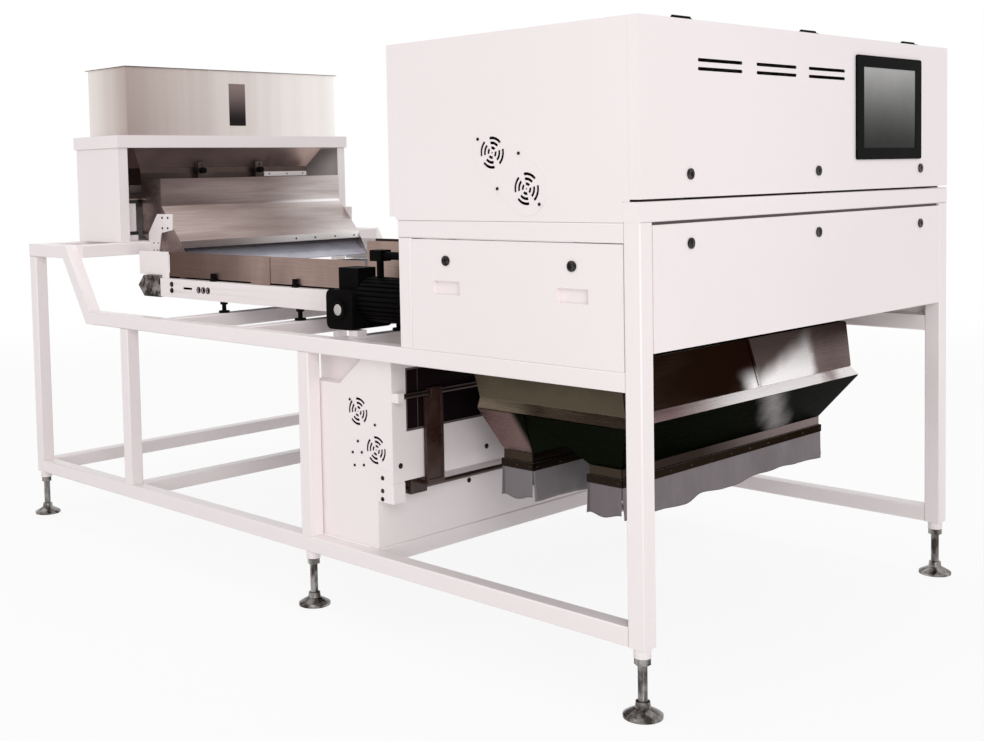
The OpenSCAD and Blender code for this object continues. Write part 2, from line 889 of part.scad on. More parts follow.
bezel_lip = 6;
module door() color(white) difference() {
    slab([-half_w, half_w], [0, door_fold], [door_low, head_top]);
    slab([-half_w + sheet, half_w - sheet], [sheet, door_fold + 1], [door_low + sheet, head_top - sheet]);
    for (x = vent_x, row = [0:1])
        vent(x, head_top - vent_down - row * vent_rows);
    slab([screen_x - screen_w / 2 + bezel_lip, screen_x + screen_w / 2 - bezel_lip], [-1, sheet + 1],
        [screen_z - screen_h / 2 + bezel_lip, screen_z + screen_h / 2 - bezel_lip]);
    for (x = lock_x)
        lock_hole(x, door_lock_z, sheet + 1);
}

hinge_third = hinge_len / 3;
leaf_t = 2;
leaf_w = 26;
module hinge_knuckle(x0, x1) {
    rod_x([x0, x1], hinge_d, hinge_z, knuckle / 2);
}

module door_hinges() color(black) {
    for (x = hinge_x) {
        for (end = [-1, 1])
            hinge_knuckle(x + end * hinge_third - hinge_third / 2 + seat / 2,
                x + end * hinge_third + hinge_third / 2 - seat / 2);
        for (end = [-1, 1])
            slab([x + end * hinge_third - hinge_third / 2 + seat / 2,
                x + end * hinge_third + hinge_third / 2 - seat / 2],
                [hinge_d + seat, hinge_d + leaf_w], [head_top + seam, head_top + seam + leaf_t]);
        rod_x([x - hinge_len / 2, x + hinge_len / 2], hinge_d, hinge_z, hinge_pin / 2);
    }
}

module door_hinge_leaves() color(black) {
    for (x = hinge_x)
        difference() {
            union() {
                hinge_knuckle(x - hinge_third / 2 + seat, x + hinge_third / 2 - seat);
                slab([x - hinge_third / 2 + seat, x + hinge_third / 2 - seat], [hinge_d - leaf_w, hinge_d],
                    [head_top + seam, head_top + seam + leaf_t]);
            }
            rod_x([x - hinge_len, x + hinge_len], hinge_d, hinge_z, hinge_pin / 2 + run_gap);
        }
}

module screen_plate(w, h, d, r) {
    translate([screen_x - w / 2, fy(d[1]), screen_z - h / 2])
        rotate([90, 0, 0])
            linear_extrude(d[1] - d[0])
                round_rect(w, h, r);
}

display_in = 1.5;
module screen_bezel() color(black) difference() {
    union() {
        screen_plate(screen_w, screen_h, [-bezel_out, -seam], 8);
        slab([screen_x - screen_w / 2 + bezel_lip + 1, screen_x + screen_w / 2 - bezel_lip - 1],
            [-seam - 1, door_fold - 6],
            [screen_z - screen_h / 2 + bezel_lip + 1, screen_z + screen_h / 2 - bezel_lip - 1]);
    }
    slab([screen_x - display_w / 2, screen_x + display_w / 2], [-bezel_out - 1, -bezel_out + display_in + 3],
        [screen_z - display_h / 2, screen_z + display_h / 2]);
}

module screen_display() color([0.2, 0.2, 0.2])
    slab([screen_x - display_w / 2 + seam, screen_x + display_w / 2 - seam],
        [-bezel_out + display_in, -bezel_out + display_in + 3 - seam],
        [screen_z - display_h / 2 + seam, screen_z + display_h / 2 - seam]);

// Quarter-turn locks. The cam lies level at rest, which is unlocked.

module lock_body(back) {
    slot_deep = 1.5;
    difference() {
        union() {
            cylinder(h = lock_out - seam, r = lock_head / 2);
            translate([0, 0, lock_out - seam - 1])
                cylinder(h = back + 1 + seam, r = lock_barrel / 2);
            translate([0, -cam_w / 2, lock_out + back - cam_t])
                cube([cam_len, cam_w, cam_t]);
        }
        translate([-1.5, -7, -1])
            cube([3, 14, slot_deep + 1]);
        translate([0, 0, -1])
            cylinder(h = slot_deep + 1, r = 4);
    }
}

module front_lock(x, z, back) color(zinc)
    translate([x, fy(-lock_out), z])
        rotate([-90, 0, 0])
            lock_body(back);

door_lock_back = door_fold + seat + keeper_t + cam_gap + cam_t;
panel_lock_back = panel_fold + seat + keeper_t + cam_gap + cam_t;
module door_lock_left() front_lock(lock_x[0], door_lock_z, door_lock_back);
module door_lock_middle() front_lock(lock_x[1], door_lock_z, door_lock_back);
module door_lock_right() front_lock(lock_x[2], door_lock_z, door_lock_back);
module panel_lock_left() front_lock(lock_x[0], panel_lock_z, panel_lock_back);
module panel_lock_middle() front_lock(lock_x[1], panel_lock_z, panel_lock_back);
module panel_lock_right() front_lock(lock_x[2], panel_lock_z, panel_lock_back);

module side_lock(d) color(zinc)
    translate([-half_w - lock_out, fy(d), side_lock_z])
        rotate([90, 0, 90])
            lock_body(panel_lock_back);
module side_lock_front() side_lock(side_lock_d[0]);
module side_lock_rear() side_lock(side_lock_d[1]);

// Lift-off panels

module front_panel() color(white) difference() {
    union() {
        slab([-inner_half + panel_gap, inner_half - panel_gap], [0, panel_fold], [panel_low, panel_top - panel_drop]);
        for (x = lock_x)
            slab([x - keeper_w / 2, x + keeper_w / 2], [panel_fold - 4, panel_fold], [panel_top - panel_drop - 1, panel_top]);
    }
    slab([-inner_half + panel_gap + sheet, inner_half - panel_gap - sheet], [sheet, panel_fold + 1],
        [panel_low + sheet, panel_top - panel_drop - sheet]);
    for (x = lock_x)
        lock_hole(x, panel_lock_z, sheet + 1);
}

module side_tray(x0, x1, open) {
    difference() {
        slab([x0, x1], [side_d0, side_d1], [side_panel_low, side_panel_top]);
        slab(open, [side_d0 + sheet, side_d1 - sheet], [side_panel_low + sheet, side_panel_top - sheet]);
    }
}

module left_side_panel() color(white) {
    pull_z = deck_top + pull_up;
    x0 = -half_w;
    difference() {
        union() {
            side_tray(x0, x0 + panel_fold, [x0 + sheet, x0 + panel_fold + 1]);
            for (d = side_lock_d)
                slab([x0 + sheet - 1, x0 + pull_deep + sheet], [d - pull_len / 2 - sheet, d + pull_len / 2 + sheet],
                    [pull_z - pull_h / 2 - sheet, pull_z + pull_h / 2 + sheet]);
        }
        for (d = side_lock_d) {
            slab([x0 - 1, x0 + pull_deep], [d - pull_len / 2, d + pull_len / 2],
                [pull_z - pull_h / 2, pull_z + pull_h / 2]);
            rod_x([x0 - 1, x0 + sheet + 1], d, side_lock_z, lock_barrel / 2 + run_gap);
        }
    }
}

module right_side_panel() color(white)
    side_tray(half_w - panel_fold, half_w, [half_w - panel_fold - 1, half_w - sheet]);

// Optics and control

cam_tilt = 28;
cam_side = 80;
cam_h = 140;
cam_pitch = 370;
lens_r = 30;
lens_h = 50;
beam = 40;
beam_d = 500;
beam_z = head_top - 114;
module camera(x) {
    drop = cam_side / 2 * sin(cam_tilt) + seat;
    translate([x, fy(beam_d + beam / 2), beam_z - drop])
        rotate([cam_tilt, 0, 0]) {
            translate([-cam_side / 2, -cam_side / 2, -cam_h])
                cube([cam_side, cam_side, cam_h]);
            translate([0, 0, -cam_h - lens_h])
                cylinder(h = lens_h + 1, r = lens_r);
        }
    slab([x - lens_r, x + lens_r], [beam_d, beam_d + beam], [beam_z - cam_side / 2, beam_z - seat]);
}

low_cam_x = [-380, 380];
low_cam_d = box_foot_d + 140;
low_cam_len = 120;
low_cam_w = 90;
low_cam_up = 180;
module cameras() color([0.18, 0.18, 0.2]) {
    slab([-half_w + sheet + seat, half_w - sheet - seat], [beam_d, beam_d + beam], [beam_z, beam_z + beam]);
    for (x = [-cam_pitch, 0, cam_pitch])
        camera(x);
    for (x = low_cam_x) {
        z = box_low + low_cam_up;
        slab([x - beam / 2, x + beam / 2], [low_cam_d + lens_r, low_cam_d + lens_r + beam],
            [box_low + sheet + seat, z]);
        slab([x - low_cam_w / 2, x + low_cam_w / 2], [low_cam_d, low_cam_d + low_cam_len], [z - 1, z + low_cam_w]);
        rod_y(x, [low_cam_d - lens_h, low_cam_d + 1], z + low_cam_w / 2, lens_r);
    }
}

module light_bars() color([0.85, 0.87, 0.9]) {
    bar_h = 40;
    low_z = box_step + sheet + seat;
    for (d = [window_d - light_w - 12, window_d + window_w + 3])
        slab([-view_half, view_half], [d, d + light_w], [head_low - seat - bar_h, head_low - seat]);
    slab([-view_half, view_half], [box_front_d + 20, box_front_d + 20 + light_w], [low_z, low_z + bar_h]);
}

module control_box() color([0.75, 0.76, 0.78]) {
    z0 = head_low + sheet + seat;
    box_d = 120;
    box_x = 250;
    box_w = 450;
    box_side = 260;
    catch_w = 30;
    slab([box_x, box_x + box_w], [box_d, box_d + box_side], [z0, z0 + box_side]);
    for (x = [box_x + catch_w, box_x + box_w - 2 * catch_w])
        slab([x, x + catch_w], [box_d - 8, box_d + 1], [z0 + box_side / 2 - 10, z0 + box_side / 2 + 10]);
}

// Conveyor

module conveyor_rail() {
    difference() {
        slab([rail_in, rail_half], [rail_d0, rail_d1], [rail_low, rail_top]);
        slab([rail_in - 1, rail_half - rail_t], [rail_d0 - 1, rail_d1 + 1], [rail_low + rail_t, rail_top - rail_t]);
        rod_x([rail_in, rail_half + 1], drive_d, roller_z, shaft / 2 + 4);
        for (z = [roller_z - 12, roller_z + 12])
            rod_x([rail_in, rail_half + 1], rail_d1 - 80, z, 5);
        slab([rail_in, rail_half + 1], [rail_d1 - 215, rail_d1 - 155], [roller_z - 4, roller_z + 4]);
        for (step = [0, 30, 60])
            rod_x([rail_in, rail_half + 1], rail_d1 - 260 - step, roller_z - 2, 9);
    }
    side_prism([skirt_half + 3, skirt_half + 6], [[skirt_d1 + 2, rail_top + seat], [rail_d1, rail_top + seat],
        [rail_d1, roller_z + 44], [tail_d + block_half + 5, roller_z + 44],
        [tail_d + block_half + 5, skirt_low + skirt_h], [skirt_d1 + 2, skirt_low + skirt_h]]);
}

module conveyor_rails() color(white) {
    both_sides()
        conveyor_rail();
    slab([gearbox_x0 + 10, gearbox_x0 + 50], [cross_d[0] + 5, cross_d[0] + 45],
        [deck_top + seam, roller_z - gearbox_side / 2 - seat]);
}

module belt_bed_and_skirts() color(steel) {
    bed_top = roller_z + belt_in - seat;
    bed_d0 = drive_d + roller_r + 12;
    bed_d1 = tail_d - roller_r - 12;
    slab([-belt_half + 5, belt_half - 5], [bed_d0, bed_d1], [bed_top - 3, bed_top]);
    for (d = [bed_d0 + 100, (bed_d0 + bed_d1) / 2, bed_d1 - 150])
        slab([-rail_in + seam, rail_in - seam], [d, d + 30], [roller_z + 4, bed_top - 3 - seam]);
    both_sides() {
        slab([skirt_half, skirt_half + sheet], [skirt_d0, skirt_d1], [skirt_low, skirt_low + skirt_h]);
        slab([skirt_half + sheet + seam, skirt_half + 2 * sheet + seam], [1806, 1918],
            [rail_top + seat, skirt_low + skirt_h - 4]);
        slab([skirt_half, skirt_half + sheet], [guard_d0, guard_d1], [rail_top + seat, rail_top + seat + guard_h]);
    }
}

module stadium(r) {
    side_len = tail_d - drive_d;
    circle(r = r);
    translate([0, -r])
        square([side_len, 2 * r]);
    translate([side_len, 0])
        circle(r = r);
}

module belt() color([0.42, 0.47, 0.53])
    translate([-belt_half, fy(drive_d), roller_z])
        rotate([90, 0, 90])
            linear_extrude(2 * belt_half)
                difference() {
                    stadium(belt_in + belt_t, $fn = 96);
                    stadium(belt_in, $fn = 96);
                }

tail_shaft = 25;
module drive_roller() color(zinc) {
    rod_x([-belt_half + 2, belt_half - 2], drive_d, roller_z, roller_r);
    rod_x([gearbox_x0 + 6, rail_half + bearing_t + 10], drive_d, roller_z, shaft / 2);
}

module tail_roller() color(zinc) {
    rod_x([-belt_half + 2, belt_half - 2], tail_d, roller_z, roller_r);
    rod_x([-rail_half, rail_half], tail_d, roller_z, tail_shaft / 2);
}

flange_side = 90;
module roller_bearings() color([0.2, 0.19, 0.18]) both_sides() {
    difference() {
        union() {
            slab([rail_half + seat, rail_half + seat + 8], [drive_d - flange_side / 2, drive_d + flange_side / 2],
                [roller_z - rail_h / 2, roller_z + rail_h / 2]);
            rod_x([rail_half + seat, rail_half + seat + bearing_t], drive_d, roller_z, 32);
        }
        rod_x([rail_half - 1, rail_half + bearing_t + 2], drive_d, roller_z, shaft / 2 + run_gap);
    }
    difference() {
        side_prism([rail_in, rail_half + 2], [[rail_d1 + seat, roller_z - 42], [rail_d1 + seat, roller_z + 42],
            [tail_d + block_half - 40, roller_z + 42], [tail_d + block_half, roller_z],
            [tail_d + block_half - 40, roller_z - 42]]);
        rod_x([rail_in - 1, rail_half + 3], tail_d, roller_z, tail_shaft / 2 + run_gap);
    }
}

module clamp_knobs() color(black) {
    foot_x = rail_half - rail_w / 2;
    both_sides() {
        for (d = cross_d) {
            rod_z(foot_x, d + tube / 2, [deck_top + seam, deck_top + 8], 20);
            rod_z(foot_x, d + tube / 2, [deck_top + 7, rail_low - 9], 8);
            rod_z(foot_x, d + tube / 2, [rail_low - 10, rail_low - seam], 14);
        }
        for (d = clamp_d) {
            slab([skirt_half + sheet + seat, rail_half], [d - 12, d + 12], [rail_top + seam, rail_top + 12]);
            rod_z(skirt_half + sheet + seat + 9, d, [rail_top + 11, rail_top + 30], 8);
        }
    }
    for (x = [-knob_x, knob_x]) {
        rod_y(x, [strap_d - seat - 20, strap_d - seat], knob_z, 12);
        rod_y(x, [strap_d - seat - 1, neck_d0 - seat], knob_z, knob_stud / 2);
    }
}

module motor_profile() {
    difference() {
        circle(r = motor_d / 2);
        for (i = [0:fins - 1])
            rotate(i * 360 / fins)
                translate([motor_d / 2 - fin_h, -2.5])
                    square([fin_h + 1, 5]);
    }
}

module gear_motor() color(black) {
    gear_d0 = drive_d - gearbox_side / 2;
    motor_d1 = gear_d0 - seam;
    motor_d0 = motor_d1 - motor_len;
    difference() {
        union() {
            translate([gearbox_x0, fy(gear_d0), roller_z - gearbox_side / 2])
                rotate([90, 0, 90])
                    linear_extrude(gearbox_w)
                        round_rect(gearbox_side, gearbox_side, 22);
            rod_x([gearbox_x0 - 8, gearbox_x0 + 1], drive_d, roller_z, 31);
        }
        rod_x([gearbox_x0 + 5, gearbox_x1 + 1], drive_d, roller_z, shaft / 2 + run_gap);
        rod_x([gearbox_x0 - 9, gearbox_x0 - 5], drive_d, roller_z, 20);
    }
    translate([motor_x, fy(motor_d1), motor_z])
        rotate([90, 0, 0])
            linear_extrude(motor_len)
                motor_profile();
    rod_y(motor_x, [motor_d0 - cowl_len, motor_d0 - seam], motor_z, motor_d / 2 + 3);
    slab([motor_x - 45, motor_x + 30], [gear_d0 + 14, gear_d0 + 104],
        [roller_z + gearbox_side / 2 + seam, roller_z + gearbox_side / 2 + 66]);
    rod_z(motor_x - 10, gear_d0 - 52, [motor_z + motor_d / 2 + seam, motor_z + motor_d / 2 + 51], 11);
    slab([motor_x - 32, motor_x + 12], [gear_d0 - 78, gear_d0 - 28],
        [motor_z + motor_d / 2 + 50, motor_z + motor_d / 2 + 84]);
    cable_d = cab_d - tube / 2;
    cable_z = motor_z + motor_d / 2 + 67;
    rod_y(motor_x - 10, [cable_d, gear_d0 - 77], cable_z, motor_cable / 2);
    rod_x([-inner_half + seat, motor_x - 10], cable_d, cable_z, motor_cable / 2);
    translate([motor_x - 10, fy(cable_d), cable_z])
        sphere(d = motor_cable, $fn = 32);
}

// Feeder

module hopper() color(steel) {
    d1 = hopper_d0 + hopper_deep;
    wall = [hopper_low, hopper_top];
    difference() {
        slab([-hopper_half, hopper_half], [hopper_d0, hopper_d0 + sheet], wall);
        slab([-sight_w / 2, sight_w / 2], [hopper_d0 - 1, hopper_d0 + sheet + 1], [sight_z, sight_z + sight_h]);
    }
    slab([-hopper_half, hopper_half], [d1 - sheet, d1], wall);
    both_sides()
        slab([hopper_half - sheet, hopper_half], [hopper_d0 + sheet + seam, d1 - sheet - seam], wall);
    flange = [hopper_top - 3, hopper_top];
    slab([-hopper_half - hopper_flange, hopper_half + hopper_flange],
        [hopper_d0 - hopper_flange, hopper_d0 - seam], flange);
    slab([-hopper_half - hopper_flange, hopper_half + hopper_flange], [d1 + seam, d1 + hopper_flange], flange);
    both_sides()
        slab([hopper_half + seam, hopper_half + hopper_flange], [hopper_d0, d1], flange);
    cone_top = cap_top - 2;
    a = cap_hole_half - seat - sheet;
    f = cap_hole_d0 + seat + sheet;
    b = cap_hole_d1 - seat - sheet;
    n = neck_half;
    shell4([a, f, b, cone_top], [n, neck_d0, neck_d1, neck_top], sheet);
    slab([-n, n], [neck_d0, neck_d0 + sheet], [neck_low, neck_top - seam]);
    slab([-n, n], [neck_d1 - sheet, neck_d1], [neck_low, neck_top - seam]);
    both_sides()
        slab([n - sheet, n], [neck_d0 + sheet + seam, neck_d1 - sheet - seam], [neck_low, neck_top - seam]);
}

module feeder_housing() color(white) {
    z = [housing_low, housing_top];
    floor_t = 3;
    both_sides() {
        slab([housing_half - sheet, housing_half], [housing_d, frame_l], z);
        slab([housing_half - stile_w, housing_half - sheet - seam], [housing_d, housing_d + sheet], z);
        for (d = mount_d) {
            slab([mount_x, mount_x + mount_w], [d, d + mount_w], [housing_low + floor_t + seam, raised_top + 26]);
            slab([mount_x + 5, mount_x + mount_w - 5], [d + 5, d + mount_w - 5], [raised_top + 40, mount_top - 13]);
        }
    }
    slab([-housing_half + sheet + seam, housing_half - sheet - seam], [frame_l - sheet, frame_l], z);
    slab([-housing_half + sheet + seam, housing_half - sheet - seam],
        [housing_d + sheet + seam, frame_l - sheet - seam], [housing_low, housing_low + floor_t]);
}

module feeder_cap() color(white) {
    z = [cap_low, cap_top];
    x1 = housing_half + cap_over;
    slab([-x1, x1], [housing_d - cap_over, cap_hole_d0], z);
    slab([-x1, x1], [cap_hole_d1, frame_l + cap_over], z);
    both_sides()
        slab([cap_hole_half, x1], [cap_hole_d0 + seam, cap_hole_d1 - seam], z);
}

module feed_chute() color(steel) {
    x = [-chute_half, chute_half];
    slab(x, [chute_d - sheet, chute_d], [chute_fold_z + seam, chute_top]);
    side_prism(x, [[chute_d - sheet, chute_fold_z], [chute_d, chute_fold_z],
        [chute_lip_d + 2, chute_lip_z], [chute_lip_d, chute_lip_z]]);
    side_prism(x, [[chute_back_d, tray_z - 17], [chute_back_d, tray_z - 15],
        [chute_lip_d - 50, chute_lip_z - 96], [chute_lip_d - 50, chute_lip_z - 98]]);
    slab(x, [chute_lip_d - 3, chute_lip_d - seam], [chute_lip_z - 26, chute_lip_z + 2]);
    both_sides() {
        side_prism([chute_half + seam, chute_half + seam + sheet], [[chute_d - sheet, chute_top],
            [chute_back_d, chute_top], [chute_back_d, raised_top + 26], [chute_d + 60, raised_top - 10],
            [chute_lip_d - 50, chute_lip_z - 102], [chute_lip_d - 50, chute_lip_z - 80],
            [chute_lip_d, chute_lip_z], [chute_d - sheet, chute_fold_z]]);
        side_prism([chute_half + sheet + 2 * seam, chute_half + sheet + 2 * seam + 4],
            [[chute_d + 24, chute_fold_z - 31], [chute_d - 83, chute_fold_z - 31], [chute_d - 80, chute_fold_z - 94],
            [chute_d, chute_fold_z - 107], [chute_d + 19, raised_top - 42], [raised_cross_d - seat, raised_top - 42],
            [raised_cross_d - seat, chute_fold_z - 108]]);
    }
}

module feeder_tray() color(steel) {
    x = [-tray_half, tray_half];
    slab(x, [tray_d0, tray_d1], [tray_z, tray_z + sheet]);
    both_sides() {
        slab([tray_half + seam, tray_half + seam + sheet], [tray_d0, tray_d1], [tray_z, tray_z + tray_h]);
        for (d = mount_d)
            slab([tray_half + 2 * seam + sheet, mount_x + mount_w], [d, d + mount_w],
                [mount_top + seat, mount_top + seat + 5]);
    }
    slab(x, [tray_d1 + seam, tray_d1 + seam + sheet], [tray_z, tray_z + tray_h]);
}

module vibrator_mounts() color(black) {
    both_sides()
        for (d = mount_d) {
            slab([mount_x, mount_x + mount_w], [d, d + mount_w], [raised_top + 26 + seam, raised_top + 40 - seam]);
            slab([mount_x, mount_x + mount_w], [d, d + mount_w], [mount_top - 13 + seam, mount_top]);
        }
    slab([-70, 70], [tray_d0 + 60, tray_d0 + 170], [housing_low + 3 + seam, tray_z - 6]);
}

module feed_gate() color(steel) difference() {
    union() {
        slab([-neck_half, neck_half], [neck_d0 - seat - sheet, neck_d0 - seat], [gate_top - gate_h, gate_top]);
        for (x = [-knob_x, knob_x]) {
            slab([x - 20, x + 20], [strap_d, neck_d0 - seat - 1], [gate_top - gate_h + 4, gate_top - 8]);
            slab([x - 20, x + 20], [strap_d, strap_d + strap_t], [gate_top - 9, knob_z + gate_travel + 14]);
        }
    }
    for (x = [-knob_x, knob_x])
        slab([x - slot_half, x + slot_half], [strap_d - 1, strap_d + strap_t + 1],
            [knob_z - slot_half, knob_z + gate_travel + slot_half]);
}

// Lower box

module box_side() {
    side_prism([-box_half, -box_half + sheet], [[box_rear_d, box_low], [box_foot_d, box_low],
        [box_foot_d, box_step], [box_front_d + sheet + seam, box_step], [box_front_d + sheet + seam, box_top],
        [box_slope_d, box_top], [box_slope_end_d, box_back], [box_rear_d, box_back]]);
}

module lower_box() color(white) {
    x = [-box_half + sheet + seam, box_half - sheet - seam];
    difference() {
        box_side();
        for (i = [0:1])
            grille_cut([-box_half - 1, -box_half + sheet + 1], box_fan_d[i], box_fan_z[i]);
    }
    mirror([1, 0, 0])
        box_side();
    slab(x, [box_foot_d, box_foot_d + sheet], [box_low, box_step - seam]);
    slab(x, [box_front_d + sheet + seam, box_foot_d + sheet], [box_step, box_step + sheet]);
    slab(x, [box_foot_d + sheet + seam, box_rear_d - sheet - seam], [box_low, box_low + sheet]);
    slab(x, [box_rear_d - sheet, box_rear_d], [box_low, box_back]);
    slab(x, [box_slope_end_d + seam, box_rear_d - sheet - seam], [box_back - sheet, box_back]);
    side_prism(x, [[box_slope_d + seam, box_top], [box_slope_end_d, box_back],
        [box_slope_end_d, box_back - sheet - 1], [box_slope_d + seam, box_top - sheet - 1]]);
    slab(x, [box_front_d + 12, box_slope_d], [box_top - sheet, box_top]);
    both_sides()
        side_prism([box_half - hood_in - sheet, box_half - hood_in], [[box_slope_d + seam, box_top + seam],
            [box_slope_end_d + seam, box_back + seam], [box_rear_d, box_back + seam],
            [box_rear_d, deck_low - seat], [box_slope_d + seam, deck_low - seat]]);
}

module lower_box_front() color(white) {
    d = [box_front_d, box_front_d + sheet];
    slab([-box_half, box_half], d, [sill_low, sill_top]);
    slab([-box_half, box_half], d, [box_top - strip_h, box_top]);
    both_sides() {
        slab([box_half - front_stile, box_half], d, [sill_top + seam, box_top - strip_h - seam]);
        difference() {
            slab([box_half - 48, box_half], [box_front_d + sheet + seat, box_foot_d - seat],
                [rod_low_z - 26, box_step - seat]);
            rod_x([box_half - 49, box_half - 8], rod_low_d, rod_low_z, wiper_rod / 2 + run_gap);
        }
        difference() {
            slab([box_half - 24, box_half], [rod_high_d - 14, box_front_d - seat],
                [rod_high_z - 14, rod_high_z + 14]);
            rod_x([box_half - 25, box_half - 8], rod_high_d, rod_high_z, wiper_rod / 2 + run_gap);
        }
    }
}

module wiper_rods() color(zinc) {
    rod_x([-box_half + 9, box_half - 9], rod_low_d, rod_low_z, wiper_rod / 2);
    rod_x([-box_half + 9, box_half - 9], rod_high_d, rod_high_z, wiper_rod / 2);
}

// A ribbed arm in front of the window: its foot reaches under the sill to the lower rod
module wiper() color([0.2, 0.12, 0.09]) {
    x = [wiper_x - wiper_w / 2, wiper_x + wiper_w / 2];
    arm_d = [rod_high_d - 4.5, rod_high_d + 8];
    arm_z = [rod_low_z + 15, rod_high_z - 11];
    foot_z = [arm_z[0], arm_z[0] + 14];
    difference() {
        union() {
            slab(x, [arm_d[0] + 3.5, arm_d[1]], arm_z);
            for (rib = [x[0], x[1] - 7])
                slab([rib, rib + 7], arm_d, arm_z);
            slab(x, [arm_d[0], rod_low_d - 10], foot_z);
            slab([x[0] - 36, x[1] - 40], [rod_low_d - 16, rod_low_d + 14], [rod_low_z - 14, foot_z[1]]);
            slab([wiper_x - 22, wiper_x + 22], [rod_high_d - 14, rod_high_d + 12], [arm_z[1] - 1, rod_high_z + 14]);
        }
        rod_x([x[0] - 37, x[1] + 1], rod_low_d, rod_low_z, wiper_rod / 2 + run_gap);
        rod_x([x[0] - 1, x[1] + 1], rod_high_d, rod_high_z, wiper_rod / 2 + run_gap);
    }
}

// Discharge hopper: an upper box with a flared lip over two funnels

module funnel(f0, f1, g0) {
    g1 = g0 + outlet_deep;
    o = outlet_half;
    shell4([bin_lip_half, f0, f1, bin_lip_z - 3 * seam], [o, g0, g1, outlet_top + 9 * seam], sheet);
    shell4([o, g0, g1, outlet_top], [o, g0, g1, outlet_low], sheet);
}

module discharge_hopper() color(steel) {
    a = bin_top_half;
    rear_fold_d = bin_rear_low_d + (bin_rear_d - bin_rear_low_d) * bin_lip_h / (bin_plate_h + bin_lip_h);
    shell4([a, bin_front_d, bin_rear_d, bin_top], [a, bin_fold_d, rear_fold_d, bin_fold_z], sheet);
    shell4([a, bin_fold_d, rear_fold_d, bin_fold_z - 7 * seam],
        [bin_lip_half, bin_lip_d, bin_rear_low_d, bin_lip_z], sheet);
    both_sides()
        for (d = [bin_front_d + 65, bin_rear_d - 150])
            slab([a + sheet + seat, inner_half - seat], [d, d + 40], [bin_top - 4, bin_top]);
    slab([-a + seat, a - seat], [ridge_d - 1.5, ridge_d + 1.5], [bin_lip_z - seam, bin_top - 40]);
    funnel(bin_lip_d + seat, ridge_d - 2, outlet_front_d);
    funnel(ridge_d + 2.2, bin_rear_low_d - seat, outlet_rear_d);
    for (g0 = [outlet_front_d, outlet_rear_d])
        neck_band(g0, skirt_off + hem_t + seat, sheet, [clamp_top - clamp_h, clamp_top]);
    off = sheet + seat;
    rate = (bin_front_d - bin_fold_d) / bin_plate_h;
    sheet_quad([[cover_top_x, bin_front_d - off - 4 * rate, bin_top - 4],
        [cover_low_x, bin_fold_d - off + 4 * rate, bin_fold_z + 4], [a, bin_fold_d - off + 4 * rate, bin_fold_z + 4],
        [a, bin_front_d - off - 4 * rate, bin_top - 4]], 1.5);
}

// Four plates of thickness t round an outlet's neck, a given distance off its inner faces
module neck_band(g0, off, t, z) {
    o = outlet_half + off;
    f0 = g0 - off;
    f1 = g0 + outlet_deep + off;
    slab([-o, o], [f0 - t, f0], z);
    slab([-o, o], [f1, f1 + t], z);
    both_sides()
        slab([o, o + t], [f0, f1], z);
}

module outlet_skirts() color([0.5, 0.5, 0.52])
    for (g0 = [outlet_front_d, outlet_rear_d])
        neck_band(g0, skirt_off, hem_t, [outlet_low - hem_h, clamp_top]);

module ejector_bar() color([0.6, 0.61, 0.63]) {
    d0 = cab_d - tube / 2 - ejector_bar_side / 2;
    slab([-inner_half + seat, inner_half - seat], [d0, d0 + ejector_bar_side], [ejector_z, ejector_z + ejector_bar_side]);
    for (i = [0:valves - 1]) {
        x = (i - (valves - 1) / 2) * valve_pitch;
        slab([x - 20, x + 20], [d0 + 4, d0 + ejector_bar_side - 4],
            [ejector_z + ejector_bar_side + seam, ejector_z + ejector_bar_side + valve_h]);
        rod_z(x, d0 + ejector_bar_side / 2, [ejector_z - 12, ejector_z - seam], 5);
    }
}

frame_left_side();
frame_right_side();
frame_cross_members();
foot_front_left();
foot_front_right();
foot_mid_left();
foot_mid_right();
foot_rear_left();
foot_rear_right();
head_side_panels();
head_top_panel();
head_rear_panel();
head_floor();
glass_windows();
fan_frames();
head_fan_rotor_upper();
head_fan_rotor_lower();
box_fan_rotor_upper();
box_fan_rotor_lower();
door();
door_hinges();
door_hinge_leaves();
screen_bezel();
screen_display();
door_lock_left();
door_lock_middle();
door_lock_right();
panel_lock_left();
panel_lock_middle();
panel_lock_right();
side_lock_front();
side_lock_rear();
front_panel();
left_side_panel();
right_side_panel();
cameras();
light_bars();
control_box();
conveyor_rails();
belt_bed_and_skirts();
belt();
drive_roller();
tail_roller();
roller_bearings();
clamp_knobs();
gear_motor();
hopper();
feeder_housing();
feeder_cap();
feed_chute();
feeder_tray();
vibrator_mounts();
feed_gate();
lower_box();
lower_box_front();
wiper();
wiper_rods();
discharge_hopper();
outlet_skirts();
ejector_bar();
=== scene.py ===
import json
import math

import bmesh
import bpy
from mathutils import Matrix, Vector


